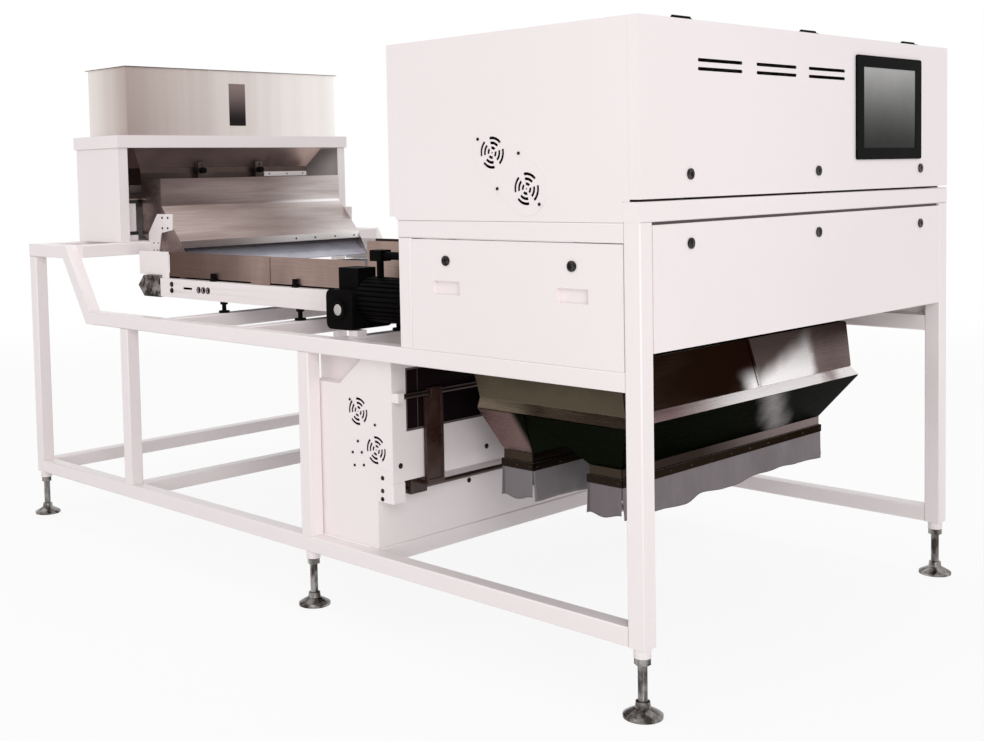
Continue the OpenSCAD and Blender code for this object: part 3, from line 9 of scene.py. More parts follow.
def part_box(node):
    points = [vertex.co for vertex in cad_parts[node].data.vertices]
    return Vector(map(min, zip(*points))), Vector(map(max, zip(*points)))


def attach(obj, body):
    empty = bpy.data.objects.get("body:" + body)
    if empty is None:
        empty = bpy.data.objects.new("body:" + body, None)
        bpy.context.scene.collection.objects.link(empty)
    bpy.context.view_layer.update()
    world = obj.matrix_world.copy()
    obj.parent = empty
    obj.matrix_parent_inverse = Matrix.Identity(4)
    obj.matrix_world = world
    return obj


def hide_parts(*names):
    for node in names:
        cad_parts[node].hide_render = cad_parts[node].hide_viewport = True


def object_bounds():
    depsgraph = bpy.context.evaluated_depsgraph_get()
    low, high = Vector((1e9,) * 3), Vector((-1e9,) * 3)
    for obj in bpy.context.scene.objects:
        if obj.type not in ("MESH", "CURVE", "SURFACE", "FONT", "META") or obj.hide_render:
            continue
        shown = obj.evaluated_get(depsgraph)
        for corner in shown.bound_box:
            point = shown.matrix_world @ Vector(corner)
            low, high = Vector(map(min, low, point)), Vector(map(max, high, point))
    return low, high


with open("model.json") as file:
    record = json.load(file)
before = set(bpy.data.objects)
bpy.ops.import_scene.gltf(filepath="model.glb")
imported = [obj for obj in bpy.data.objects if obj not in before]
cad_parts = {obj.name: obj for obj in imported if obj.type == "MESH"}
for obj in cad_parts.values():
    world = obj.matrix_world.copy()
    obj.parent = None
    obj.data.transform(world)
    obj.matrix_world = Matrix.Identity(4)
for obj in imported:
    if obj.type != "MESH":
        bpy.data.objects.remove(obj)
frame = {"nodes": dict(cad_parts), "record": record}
cadLow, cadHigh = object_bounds()
nodes = frame["nodes"]
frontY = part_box("frame_left_side")[0].y  # front face of the frame
print("frame loaded:", len(nodes), "nodes")


def at(x, d, z):
    # millimetres across, back from the front face and up from the floor
    return Vector((x / 1000, frontY + d / 1000, z / 1000))


def faceX(node):
    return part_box(node)[0].x * 1000


# Camera

cameraSpec = {
    "place": (-3.3992, -3.4086, 1.3416),
    "turn": 43.278,
    "tilt": -3.487,
    "roll": -1.265,
    "lens": 48.32,
    "sensor": 36.0,
    "shift": (0.0940, -0.1153),
}


def addCamera(spec):
    turn, tilt, roll = (math.radians(spec[k]) for k in ("turn", "tilt", "roll"))
    ahead = Vector((math.sin(turn) * math.cos(tilt), math.cos(turn) * math.cos(tilt), math.sin(tilt)))
    level = Vector((math.cos(turn), -math.sin(turn), 0))
    above = level.cross(ahead)
    right = level * math.cos(roll) + above * math.sin(roll)
    up = above * math.cos(roll) - level * math.sin(roll)
    data = bpy.data.cameras.new("studioCamera")
    data.sensor_width = spec["sensor"]
    data.lens = spec["lens"]
    data.shift_x, data.shift_y = spec["shift"]
    data.clip_end = 100
    camera = bpy.data.objects.new("studioCamera", data)
    bpy.context.scene.collection.objects.link(camera)
    turned = Matrix((right, up, -ahead)).transposed().to_4x4()
    camera.matrix_world = Matrix.Translation(Vector(spec["place"])) @ turned
    bpy.context.scene.camera = camera


addCamera(cameraSpec)
bpy.context.scene.view_settings.view_transform = "Standard"
print("camera placed")


# Shader groups

noiseSpan = (0.3, 0.7)  # most of a noise texture lies between these
fullTurn = 6.283


def startGroup(name, inputs):
    # every skin gives a colour, a roughness and a height
    tree = bpy.data.node_groups.new(name, "ShaderNodeTree")
    for label, kind, value in inputs:
        socket = tree.interface.new_socket(label, in_out="INPUT", socket_type="NodeSocket" + kind)
        socket.default_value = value
    for label, kind in (("Colour", "Color"), ("Roughness", "Float"), ("Height", "Float")):
        tree.interface.new_socket(label, in_out="OUTPUT", socket_type="NodeSocket" + kind)
    return tree, tree.nodes.new("NodeGroupInput").outputs, tree.nodes.new("NodeGroupOutput").inputs


def writeSocket(socket, value):
    # colours are given by three numbers
    socket.default_value = (*value, 1.0) if socket.type == "RGBA" else value


def nodeOutputs(tree, kind, sources, **settings):
    # a source that is a socket is linked, anything else is written in
    node = tree.nodes.new(kind)
    for label, value in settings.items():
        setattr(node, label, value)
    for key, source in sources.items():
        if isinstance(source, bpy.types.NodeSocket):
            tree.links.new(source, node.inputs[key])
        else:
            writeSocket(node.inputs[key], source)
    return node.outputs


def objectPoint(tree):
    return nodeOutputs(tree, "ShaderNodeTexCoord", {})["Object"]


def faceNormal(tree):
    return nodeOutputs(tree, "ShaderNodeNewGeometry", {})["True Normal"]


def noiseValue(tree, point, scale, detail=2.0, rough=0.5):
    sources = {"Vector": point, "Scale": scale, "Detail": detail, "Roughness": rough}
    return nodeOutputs(tree, "ShaderNodeTexNoise", sources)[0]


def rangeValue(tree, value, low, high, start=0.0, end=1.0, smooth=False):
    sources = {"Value": value, "From Min": low, "From Max": high, "To Min": start, "To Max": end}
    curve = "SMOOTHSTEP" if smooth else "LINEAR"
    return nodeOutputs(tree, "ShaderNodeMapRange", sources, interpolation_type=curve)[0]


def spanValue(tree, noise, start=0.0, end=1.0):
    return rangeValue(tree, noise, *noiseSpan, start, end)


def mathValue(tree, operation, first, second=0.0):
    return nodeOutputs(tree, "ShaderNodeMath", {0: first, 1: second}, operation=operation)[0]


def product(tree, first, *others):
    for other in others:
        first = mathValue(tree, "MULTIPLY", first, other)
    return first


def mixColour(tree, factor, first, second, blend="MIX"):
    sources = {0: factor, 6: first, 7: second}
    return nodeOutputs(tree, "ShaderNodeMix", sources, data_type="RGBA", blend_type=blend)[2]


def stretchPoint(tree, point, stretch):
    return nodeOutputs(tree, "ShaderNodeVectorMath", {0: point, 1: stretch}, operation="MULTIPLY")[0]


def axisValue(tree, point, axis):
    return nodeOutputs(tree, "ShaderNodeSeparateXYZ", {0: point})[axis]


def paintSkinGroup():
    # powder coat: slow drifts of tone, fine orange peel
    tree, given, made = startGroup(
        "paintSkin",
        [("Colour", "Color", (0.8, 0.8, 0.8, 1)), ("Shade", "Color", (0.7, 0.7, 0.7, 1)),
         ("Drift Scale", "Float", 1.6), ("Peel Scale", "Float", 420.0),
         ("Rough Low", "Float", 0.3), ("Rough High", "Float", 0.45)])
    point = objectPoint(tree)
    drift = rangeValue(tree, noiseValue(tree, point, given["Drift Scale"], 3.0), 0.35, 0.7)
    peel = noiseValue(tree, point, given["Peel Scale"], 1.0)
    mottle = noiseValue(tree, point, 38.0, 3.0)
    tree.links.new(mixColour(tree, drift, given["Colour"], given["Shade"]), made["Colour"])
    tree.links.new(spanValue(tree, mottle, given["Rough Low"], given["Rough High"]), made["Roughness"])
    tree.links.new(peel, made["Height"])
    return tree


def brushedGroup():
    # rolled sheet: fine lines along one way, broad cloudy tone under them
    tree, given, made = startGroup(
        "brushedSheet",
        [("Colour", "Color", (0.6, 0.6, 0.6, 1)), ("Dark", "Color", (0.3, 0.3, 0.3, 1)),
         ("Line Stretch", "Vector", (6.0, 400.0, 400.0)), ("Cloud Stretch", "Vector", (2.0, 2.0, 3.0)),
         ("Cloud Low", "Float", 0.35), ("Cloud High", "Float", 0.7), ("Line Tone", "Float", 0.25),
         ("Rough Low", "Float", 0.22), ("Rough High", "Float", 0.42)])
    point = objectPoint(tree)
    lines = noiseValue(tree, stretchPoint(tree, point, given["Line Stretch"]), 1.0, 3.0)
    clouds = noiseValue(tree, stretchPoint(tree, point, given["Cloud Stretch"]), 1.0, 4.0, 0.55)
    cloudy = rangeValue(tree, clouds, given["Cloud Low"], given["Cloud High"])
    lined = product(tree, spanValue(tree, lines), given["Line Tone"])
    tone = mixColour(tree, cloudy, given["Colour"], given["Dark"])
    tree.links.new(mixColour(tree, lined, tone, given["Dark"]), made["Colour"])
    tree.links.new(spanValue(tree, lines, given["Rough Low"], given["Rough High"]), made["Roughness"])
    tree.links.new(lines, made["Height"])
    return tree


def grainGroup():
    # cast, moulded and rubber skins: pebbled grain with dusty high spots
    tree, given, made = startGroup(
        "pebbleGrain",
        [("Colour", "Color", (0.1, 0.1, 0.1, 1)), ("Dust", "Color", (0.3, 0.3, 0.3, 1)),
         ("Grain Scale", "Float", 900.0), ("Dust Amount", "Float", 0.15),
         ("Rough Low", "Float", 0.35), ("Rough High", "Float", 0.6)])
    point = objectPoint(tree)
    grain = noiseValue(tree, point, given["Grain Scale"], 2.0)
    cloud = noiseValue(tree, point, 14.0, 5.0, 0.65)
    dusty = product(tree, rangeValue(tree, cloud, 0.42, 0.75), given["Dust Amount"])
    tree.links.new(mixColour(tree, dusty, given["Colour"], given["Dust"]), made["Colour"])
    tree.links.new(spanValue(tree, cloud, given["Rough Low"], given["Rough High"]), made["Roughness"])
    tree.links.new(grain, made["Height"])
    return tree


def weaveGroup():
    # coated cloth: two crossed thread waves and soft creases of tone
    tree, given, made = startGroup(
        "coatedWeave",
        [("Colour", "Color", (0.3, 0.3, 0.3, 1)), ("Thread", "Color", (0.2, 0.2, 0.2, 1)),
         ("Threads", "Float", 420.0), ("Crease", "Float", 0.3)])
    point = objectPoint(tree)
    across = mathValue(tree, "ADD", axisValue(tree, point, 0), axisValue(tree, point, 1))
    turns = product(tree, given["Threads"], fullTurn)
    weft = mathValue(tree, "SINE", product(tree, across, turns))
    warp = mathValue(tree, "SINE", product(tree, axisValue(tree, point, 2), turns))
    weave = rangeValue(tree, product(tree, weft, warp), -1.0, 1.0)
    crease = noiseValue(tree, stretchPoint(tree, point, (9.0, 9.0, 4.0)), 1.0, 4.0, 0.6)
    creased = product(tree, rangeValue(tree, crease, 0.35, 0.7), given["Crease"])
    woven = mixColour(tree, product(tree, weave, 0.3), given["Colour"], given["Thread"])
    tree.links.new(mixColour(tree, creased, woven, given["Thread"]), made["Colour"])
    tree.links.new(spanValue(tree, crease, 0.45, 0.65), made["Roughness"])
    tree.links.new(weave, made["Height"])
    return tree


paintSkin = paintSkinGroup()
brushedSheet = brushedGroup()
pebbleGrain = grainGroup()
coatedWeave = weaveGroup()
print("shader groups built")


# Finishes

def startMaterial(name, metallic=0.0, coat=0.0, coatRough=0.1, specular=0.5):
    material = bpy.data.materials.new(name)
    material.use_nodes = True
    shader = material.node_tree.nodes["Principled BSDF"]
    shader.inputs["Metallic"].default_value = metallic
    shader.inputs["Coat Weight"].default_value = coat
    shader.inputs["Coat Roughness"].default_value = coatRough
    shader.inputs["Specular IOR Level"].default_value = specular
    return material, material.node_tree, shader.inputs


def addBump(tree, inputs, height, deep, strength):
    bump = tree.nodes.new("ShaderNodeBump")
    bump.inputs["Distance"].default_value = deep
    bump.inputs["Strength"].default_value = strength
    tree.links.new(height, bump.inputs["Height"])
    tree.links.new(bump.outputs["Normal"], inputs["Normal"])


def dress(tree, inputs, group, values, deep, strength):
    node = tree.nodes.new("ShaderNodeGroup")
    node.node_tree = group
    for label, value in values.items():
        writeSocket(node.inputs[label], value)
    tree.links.new(node.outputs["Colour"], inputs["Base Color"])
    tree.links.new(node.outputs["Roughness"], inputs["Roughness"])
    addBump(tree, inputs, node.outputs["Height"], deep, strength)
    return node


paintFinishes = {
    "white_paint": {
        "colour": (0.905, 0.832, 0.836), "shade": (0.885, 0.808, 0.812), "rough": (0.28, 0.36),
        "peel": 360, "coat": 0.25},
    "grey_paint": {
        "colour": (0.42, 0.42, 0.44), "shade": (0.36, 0.36, 0.38), "rough": (0.35, 0.5),
        "peel": 420, "coat": 0.1},
    "lamp_diffuser": {
        "colour": (0.80, 0.82, 0.85), "shade": (0.74, 0.77, 0.8), "rough": (0.4, 0.5),
        "peel": 600, "coat": 0},
}

sheetFinishes = {
    "stainless": {
        "colour": (0.40, 0.35, 0.33), "dark": (0.20, 0.165, 0.15), "lines": (5, 8, 260),
        "clouds": (1.4, 2.2, 3), "cloudRange": (0.40, 0.72), "tone": 0.22, "rough": (0.26, 0.40)},
    "linerSteel": {
        "colour": (0.52, 0.52, 0.59), "dark": (0.36, 0.35, 0.41), "lines": (5, 60, 200), "metal": 0.3,
        "clouds": (5, 9, 9), "cloudRange": (0.34, 0.66), "tone": 0.2, "rough": (0.14, 0.24)},
    "bearingSteel": {
        "colour": (0.30, 0.26, 0.25), "dark": (0.016, 0.012, 0.011), "lines": (90, 90, 90),
        "clouds": (42, 42, 42), "cloudRange": (0.40, 0.58), "tone": 0.3, "rough": (0.24, 0.42)},
    # dark steel as painted shade, for parts that sit in shadow inside the machine
    "paintedShadeSteel": {
        "colour": (0.115, 0.088, 0.078), "dark": (0.045, 0.033, 0.028), "lines": (6, 6, 240),
        "clouds": (2, 2, 5), "cloudRange": (0.36, 0.68), "tone": 0.30, "rough": (0.32, 0.46)},
    "zinc_steel": {
        "colour": (0.42, 0.40, 0.385), "dark": (0.05, 0.043, 0.038), "lines": (160, 160, 30),
        "clouds": (30, 30, 14), "cloudRange": (0.36, 0.60), "tone": 0.25, "rough": (0.14, 0.28)},
    "lock_chrome": {
        "colour": (0.085, 0.075, 0.075), "dark": (0.014, 0.011, 0.011), "lines": (60, 60, 500),
        "clouds": (70, 70, 70), "cloudRange": (0.38, 0.60), "tone": 0.3, "rough": (0.16, 0.30)},
    "aluminium": {
        "colour": (0.50, 0.47, 0.46), "dark": (0.34, 0.32, 0.31), "lines": (5, 300, 300),
        "clouds": (3, 6, 6), "cloudRange": (0.4, 0.7), "tone": 0.2, "rough": (0.3, 0.45)},
    "dark_metal": {
        "colour": (0.075, 0.062, 0.056), "dark": (0.014, 0.011, 0.010), "lines": (90, 90, 90),
        "clouds": (46, 46, 46), "cloudRange": (0.38, 0.60), "tone": 0.35, "rough": (0.26, 0.48)},
}

grainFinishes = {
    "black_paint": {
        "colour": (0.003, 0.0025, 0.0025), "dust": (0.012, 0.011, 0.010), "grain": 700, "amount": 0.30,
        "rough": (0.50, 0.66), "specular": 0.02, "deep": 0.0004},
    "black_plastic": {
        "colour": (0.005, 0.0045, 0.005), "dust": (0.014, 0.013, 0.014), "grain": 1100,
        "amount": 0.25, "rough": (0.36, 0.50), "specular": 0.015, "deep": 0.0002},
    # rubber for the window gasket, also used as painted shade for the strip in the gap under the front rail
    "rubberAndGapShade": {
        "colour": (0.105, 0.083, 0.086), "dust": (0.17, 0.14, 0.142), "grain": 800, "amount": 0.5,
        "rough": (0.5, 0.7), "specular": 0.2, "deep": 0.0003},
    "wiper_plastic": {
        "colour": (0.030, 0.012, 0.009), "dust": (0.085, 0.045, 0.036), "grain": 300, "amount": 0.6,
        "rough": (0.22, 0.40), "specular": 0.35, "deep": 0.0003},
    "mount_rubber": {
        "colour": (0.02, 0.02, 0.02), "dust": (0.08, 0.075, 0.07), "grain": 600, "amount": 0.3,
        "rough": (0.55, 0.75), "specular": 0.3, "deep": 0.0005},
    "belt_rubber": {
        "colour": (0.120, 0.115, 0.140), "dust": (0.20, 0.195, 0.215), "grain": 520, "amount": 0.5,
        "rough": (0.42, 0.60), "specular": 0.06, "deep": 0.0002},
}


def paintMaterial(name, spec):
    material, tree, inputs = startMaterial(name, coat=spec["coat"], coatRough=0.15)
    dress(tree, inputs, paintSkin, {
        "Colour": spec["colour"], "Shade": spec["shade"], "Peel Scale": spec["peel"],
        "Rough Low": spec["rough"][0], "Rough High": spec["rough"][1]}, deep=0.0004, strength=0.25)
    return material


def brushedValues(spec, colour, dark):
    return {
        "Colour": colour, "Dark": dark, "Line Stretch": spec["lines"], "Cloud Stretch": spec["clouds"],
        "Line Tone": spec["tone"], "Cloud Low": spec["cloudRange"][0], "Cloud High": spec["cloudRange"][1],
        "Rough Low": spec["rough"][0], "Rough High": spec["rough"][1]}


def sheetMaterial(name, spec):
    material, tree, inputs = startMaterial(name, metallic=spec.get("metal", 1.0))
    values = brushedValues(spec, spec["colour"], spec["dark"])
    dress(tree, inputs, brushedSheet, values, deep=0.0003, strength=0.2)
    return material


def grainMaterial(name, spec):
    material, tree, inputs = startMaterial(name, specular=spec["specular"])
    dress(tree, inputs, pebbleGrain, {
        "Colour": spec["colour"], "Dust": spec["dust"], "Grain Scale": spec["grain"],
        "Dust Amount": spec["amount"], "Rough Low": spec["rough"][0], "Rough High": spec["rough"][1]},
        deep=spec["deep"], strength=0.4)
    return material


# The discharge's sheet is coloured with painted light: painted shade and painted reflection make it dark on
# its front plate and in its funnels, and painted highlights make it bright on the rolled lip and on the front
# cover
binFinish = {
    "colour": (0.042, 0.025, 0.019), "dark": (0.014, 0.007, 0.005), "funnel": (0.009, 0.010, 0.0075),
    "bright": (1, 0.965, 0.96), "cover": (0.095, 0.070, 0.066), "coverEnd": (0.20, 0.152, 0.143),
    "coverHigh": (0.055, 0.040, 0.037),
    "neck": (0.035, 0.025, 0.021), "neckBright": (0.27, 0.215, 0.21), "neckEnd": (0.045, 0.034, 0.024),
    "strip": (0.020, 0.014, 0.010), "lipShaded": (0.27, 0.185, 0.182), "lipShine": 0.8,
    "side": (0.085, 0.067, 0.046), "sideTop": (0.035, 0.027, 0.018), "sideLow": (0.20, 0.135, 0.126),
    "sideLip": (0.21, 0.165, 0.12),
    "seam": (0.0614, 0.695, 0.30), "seamGlint": (0.065, 0.085, 0.07),
    "coverHighlight": {"foot": 0.105, "level": 0.715, "lean": -2.9, "soft": 0.10, "right": (0.375, 0.445)},
    "funnelGlint": (0.165, 0.115, 1.26, 0.648), "glint": 0.36,
    "lip": (0.664, 0.6925), "coverTop": 0.83, "neckTop": 0.529, "stripTop": 0.5025,
    "lines": (5, 8, 220), "clouds": (1.2, 3, 4), "cloudRange": (0.28, 0.56), "tone": 0.35,
    "rough": (0.20, 0.34), "tint": (0.44, 0.44, 0.44), "sway": 0.10, "coverPale": 0.04, "coverHighlightTop": 0.25,
    "lipLit": (-0.36, 0.04), "lipHighlightDip": (0.50, 0.075), "lipHighlightDipTone": 0.35, "neckShine": (-0.15, 0.50),
    "rearFunnel": (0.585, 0.62), "endTurn": (0.05, 0.15), "endRise": (0.02, 0.06),
}


def bumpAlong(tree, value, middle, half):
    # one soft rise, 1 in the middle and 0 at the ends
    away = mathValue(tree, "ABSOLUTE", mathValue(tree, "SUBTRACT", value, middle))
    return rangeValue(tree, away, 0.0, half, 1.0, 0.0, smooth=True)


def leanValue(tree, across, height, lean, level):
    # a place across the sheet, measured along lines that lean as they rise
    rise = mathValue(tree, "SUBTRACT", height, level)
    return mathValue(tree, "ADD", across, product(tree, rise, lean))


def binMaterial(name, spec):
    material, tree, inputs = startMaterial(name, metallic=1.0)
    writeSocket(inputs["Specular Tint"], spec["tint"])
    lipLow, lipTop = spec["lip"]
    point = objectPoint(tree)
    across = axisValue(tree, point, 0)
    height = axisValue(tree, point, 2)
    sway = product(tree, noiseValue(tree, point, 9.0, 3.0), spec["sway"])
    swayed = mathValue(tree, "ADD", across, sway)
    values = brushedValues(spec, spec["colour"], spec["dark"])
    node = dress(tree, inputs, brushedSheet, values, deep=0.0003, strength=0.2)
    # the cover right of the seam is paler sheet; painted shade darkens it high up, painted light pales its
    # right end, and a painted highlight lies across its middle and low down
    seamX, seamZ, seamLean = spec["seam"]
    covered = mathValue(tree, "GREATER_THAN", leanValue(tree, across, height, seamLean, seamZ), seamX)
    coverHighlight = spec["coverHighlight"]
    ending = rangeValue(tree, swayed, *coverHighlight["right"], smooth=True)
    raised = rangeValue(tree, height, lipTop + spec["coverPale"], spec["coverTop"], smooth=True)
    cover = mixColour(tree, ending, spec["cover"], spec["coverEnd"])
    cover = mixColour(tree, raised, cover, spec["coverHigh"])
    plate = mixColour(tree, covered, node.outputs["Colour"], cover)
    slanting = leanValue(tree, swayed, height, coverHighlight["lean"], coverHighlight["level"])
    foot, soft = coverHighlight["foot"], coverHighlight["soft"]
    wedge = rangeValue(tree, slanting, foot - soft, foot + soft, smooth=True)
    lowDown = rangeValue(tree, height, lipTop, spec["coverTop"], 1.0, spec["coverHighlightTop"], smooth=True)
    wedge = product(tree, wedge, mathValue(tree, "SUBTRACT", 1.0, ending), lowDown, covered)
    # a painted glint rises from the fold beside the seam and joins the cover's painted highlight
    seamGlintX, seamGlintHalf, seamGlintHigh = spec["seamGlint"]
    nearFold = rangeValue(tree, height, lipTop, lipTop + seamGlintHigh, 1.0, 0.0, smooth=True)
    seamGlint = product(tree, bumpAlong(tree, swayed, seamGlintX, seamGlintHalf), nearFold)
    paintedHighlight = mathValue(tree, "MAXIMUM", wedge, seamGlint)
    plate = mixColour(tree, paintedHighlight, plate, spec["bright"])
    rolled = mathValue(tree, "LESS_THAN", height, lipTop)
    # the rolled lip carries a painted highlight: darker at its left end, almost white from the middle on,
    # dimmed in a soft patch near its right end
    lipLit = rangeValue(tree, swayed, *spec["lipLit"], smooth=True)
    lipHighlightDip = rangeValue(tree, bumpAlong(tree, swayed, *spec["lipHighlightDip"]), 0.0, 1.0, 1.0, spec["lipHighlightDipTone"])
    lipTone = product(tree, lipLit, lipHighlightDip)
    lipColour = mixColour(tree, lipTone, spec["lipShaded"], spec["bright"])
    plate = mixColour(tree, rolled, plate, lipColour)
    # a painted glint runs slanting down the front funnel
    middle, half, lean, level = spec["funnelGlint"]
    slanted = leanValue(tree, swayed, height, lean, level)
    glint = product(tree, bumpAlong(tree, slanted, middle, half), spec["glint"])
    funnel = mixColour(tree, glint, spec["funnel"], spec["bright"])
    aboveLip = rangeValue(tree, height, lipLow - 0.001, lipLow + 0.001)
    front = mixColour(tree, aboveLip, funnel, plate)
    # the ends are plain sheet, darker towards the top, with a rolled lip painted paler as painted light; on
    # the funnels' end slopes painted shade darkens the front one and painted light makes the rear one the
    # palest
    normal = faceNormal(tree)
    ends = rangeValue(tree, mathValue(tree, "ABSOLUTE", axisValue(tree, normal, 0)), *spec["endTurn"])
    near, far = spec["rearFunnel"]
    back = rangeValue(tree, axisValue(tree, point, 1), frontY + near, frontY + far, smooth=True)
    slope = mixColour(tree, back, spec["funnel"], spec["sideLow"])
    below, short = spec["endRise"]
    lagging = mathValue(tree, "SUBTRACT", height, sway)
    rising = rangeValue(tree, lagging, lipLow - below, spec["coverTop"] - short, smooth=True)
    end = mixColour(tree, rising, spec["side"], spec["sideTop"])
    end = mixColour(tree, rolled, end, spec["sideLip"])
    shown = mixColour(tree, ends, front, mixColour(tree, aboveLip, slope, end))
    onFront = mathValue(tree, "SUBTRACT", 1.0, ends)
    # where the lip carries its painted highlight its metal is taken away, so it shows as white
    lipPaintedLight = product(tree, rolled, aboveLip, lipTone, onFront, spec["lipShine"])
    tree.links.new(mathValue(tree, "SUBTRACT", 1.0, lipPaintedLight), inputs["Metallic"])
    # painted reflection brightens the neck's front towards the right
    shining = rangeValue(tree, swayed, *spec["neckShine"], smooth=True)
    neckFront = mixColour(tree, shining, spec["neck"], spec["neckBright"])
    collar = mixColour(tree, ends, neckFront, spec["neckEnd"])
    onStrip = mathValue(tree, "LESS_THAN", height, spec["stripTop"])
    neck = mixColour(tree, onStrip, collar, spec["strip"])
    low = mathValue(tree, "LESS_THAN", height, spec["neckTop"])
    tree.links.new(mixColour(tree, low, shown, neck), inputs["Base Color"])
    return material


def gradeSheet(tree, inputs, spec, along):
    # brushed lines over a tone that changes from one end of the sheet to the other
    values = brushedValues(spec, (1, 1, 1), spec["shade"])
    node = dress(tree, inputs, brushedSheet, values, deep=0.0003, strength=0.15)
    tone = mixColour(tree, along, spec["start"], spec["end"])
    return mixColour(tree, 1.0, tone, node.outputs["Colour"], blend="MULTIPLY")


gradedFinishes = {
    # painted light: the chute is dark at its left end as painted shade and pales towards the right
    "chuteSteel": {
        "axis": 0, "reach": (0.02, 0.46), "start": (0.29, 0.230, 0.215), "end": (0.76, 0.71, 0.70),
        "shade": (0.52, 0.47, 0.45), "lines": (4, 60, 260), "clouds": (1.1, 9, 13),
        "cloudRange": (0.38, 0.70), "tone": 0.25, "rough": (0.24, 0.38), "fold": (1.2455, 0.009)},
    # painted light: the chute's lip strip is dark at its left end as painted shade and almost white at its
    # right
    "lipSteel": {
        "axis": 0, "reach": (-0.30, 0.22), "start": (0.40, 0.345, 0.325), "end": (1, 0.975, 0.965),
        "shade": (0.80, 0.78, 0.77), "lines": (6, 60, 200), "clouds": (1.6, 1, 1),
        "cloudRange": (0.40, 0.70), "tone": 0.15, "rough": (0.26, 0.38)},
    # painted shade: the belt skirts darken towards their rear end
    "skirtSteel": {
        "axis": 1, "reach": (frontY + 2.40, frontY + 1.60), "start": (0.115, 0.066, 0.054),
        "end": (0.40, 0.295, 0.26), "shade": (0.55, 0.51, 0.49), "lines": (5, 6, 240),
        "clouds": (3, 3.4, 1.6), "cloudRange": (0.36, 0.68), "tone": 0.28, "rough": (0.30, 0.44)},
}


def gradedMaterial(name, spec):
    material, tree, inputs = startMaterial(name, metallic=1.0)
    point = objectPoint(tree)
    along = rangeValue(tree, axisValue(tree, point, spec["axis"]), *spec["reach"], smooth=True)
    sheet = gradeSheet(tree, inputs, spec, along)
    if "fold" in spec:
        # a painted highlight runs along the outside of the bend at the pale end
        bend = bumpAlong(tree, axisValue(tree, point, 2), *spec["fold"])
        sheet = mixColour(tree, product(tree, bend, along), sheet, (1, 1, 1))
    tree.links.new(sheet, inputs["Base Color"])
    return material


hopperFinish = {
    "start": (0.50, 0.41, 0.38), "end": (0.98, 0.935, 0.905), "shade": (0.86, 0.85, 0.845),
    "lines": (26, 26, 0.4), "clouds": (7, 7, 0.2), "cloudRange": (0.35, 0.70), "tone": 0.20,
    "rough": (0.34, 0.44), "brim": (0.05, 0.036, 0.032), "neck": (0.095, 0.067, 0.058),
    "funnel": (0.52, 0.38, 0.34), "corner": 2.705, "paleBack": 2.66, "brimHigh": 0.0025,
    "slopes": (-0.45, -0.15),
}


def hopperMaterial(name, spec):
    # satin sheet with painted light: it pales along the front from the left corner, and back from that corner
    # too
    material, tree, inputs = startMaterial(name, metallic=1.0)
    low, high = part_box("hopper")
    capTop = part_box("feeder_cap")[1].z
    point = objectPoint(tree)
    deep = mathValue(tree, "SUBTRACT", axisValue(tree, point, 1), frontY + spec["corner"])
    along = mathValue(tree, "ADD", axisValue(tree, point, 0), product(tree, deep, spec["paleBack"]))
    sheet = gradeSheet(tree, inputs, spec, rangeValue(tree, along, low.x, high.x))
    height = axisValue(tree, point, 2)
    atBrim = mathValue(tree, "GREATER_THAN", height, high.z - spec["brimHigh"])
    brim = mixColour(tree, atBrim, sheet, spec["brim"])
    # under the cap: painted shade darkens the neck, and the funnel slopes that face down are given a paler
    # colour as painted light
    normal = faceNormal(tree)
    upright = rangeValue(tree, axisValue(tree, normal, 2), *spec["slopes"])
    inside = mixColour(tree, upright, spec["funnel"], spec["neck"])
    shown = mixColour(tree, mathValue(tree, "LESS_THAN", height, capTop), brim, inside)
    tree.links.new(shown, inputs["Base Color"])
    return material


displayFinish = {
    "top": (0.50, 0.495, 0.49), "bottom": (0.020, 0.020, 0.019), "drift": 0.05,
    "past": (0.02, 0.05), "power": 1.8, "rough": (0.10, 0.18),
}


def displayMaterial(name, spec):
    # a sleeping panel: grey at the top as painted light, black at the bottom
    material, tree, inputs = startMaterial(name, specular=0.04)
    low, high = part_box("screen_display")
    point = objectPoint(tree)
    drift = product(tree, noiseValue(tree, point, 7.0, 2.0), spec["drift"])
    height = mathValue(tree, "ADD", axisValue(tree, point, 2), drift)
    below, above = spec["past"]
    paleTop = mathValue(tree, "POWER", rangeValue(tree, height, low.z + below, high.z + above), spec["power"])
    tree.links.new(mixColour(tree, paleTop, spec["bottom"], spec["top"]), inputs["Base Color"])
    smears = noiseValue(tree, point, 60.0, 3.0)
    tree.links.new(spanValue(tree, smears, *spec["rough"]), inputs["Roughness"])
    return material


glassFinish = {
    "dark": (0.010, 0.006, 0.007), "pale": (0.27, 0.20, 0.185), "past": (-0.16, 0.01),
    "rough": (0.05, 0.12),
}


def glassMaterial(name, spec):
    # smoked panes: black in the box, paler towards the top of the hopper's sight pane
    material, tree, inputs = startMaterial(name, specular=0.12)
    point = objectPoint(tree)
    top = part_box("glass_windows")[1].z
    below, above = spec["past"]
    paleTop = rangeValue(tree, axisValue(tree, point, 2), top + below, top + above, smooth=True)
    tree.links.new(mixColour(tree, paleTop, spec["dark"], spec["pale"]), inputs["Base Color"])
    smears = noiseValue(tree, point, 40.0, 3.0)
    tree.links.new(spanValue(tree, smears, *spec["rough"]), inputs["Roughness"])
    return material


clothFinishes = {
    "skirt_fabric": {
        "colour": (0.200, 0.172, 0.180), "thread": (0.120, 0.104, 0.110),
        "threads": 420, "crease": 0.5},
    "paleSkirt": {
        "colour": (0.20, 0.182, 0.19), "thread": (0.135, 0.122, 0.128),
        "threads": 420, "crease": 0.4},
}


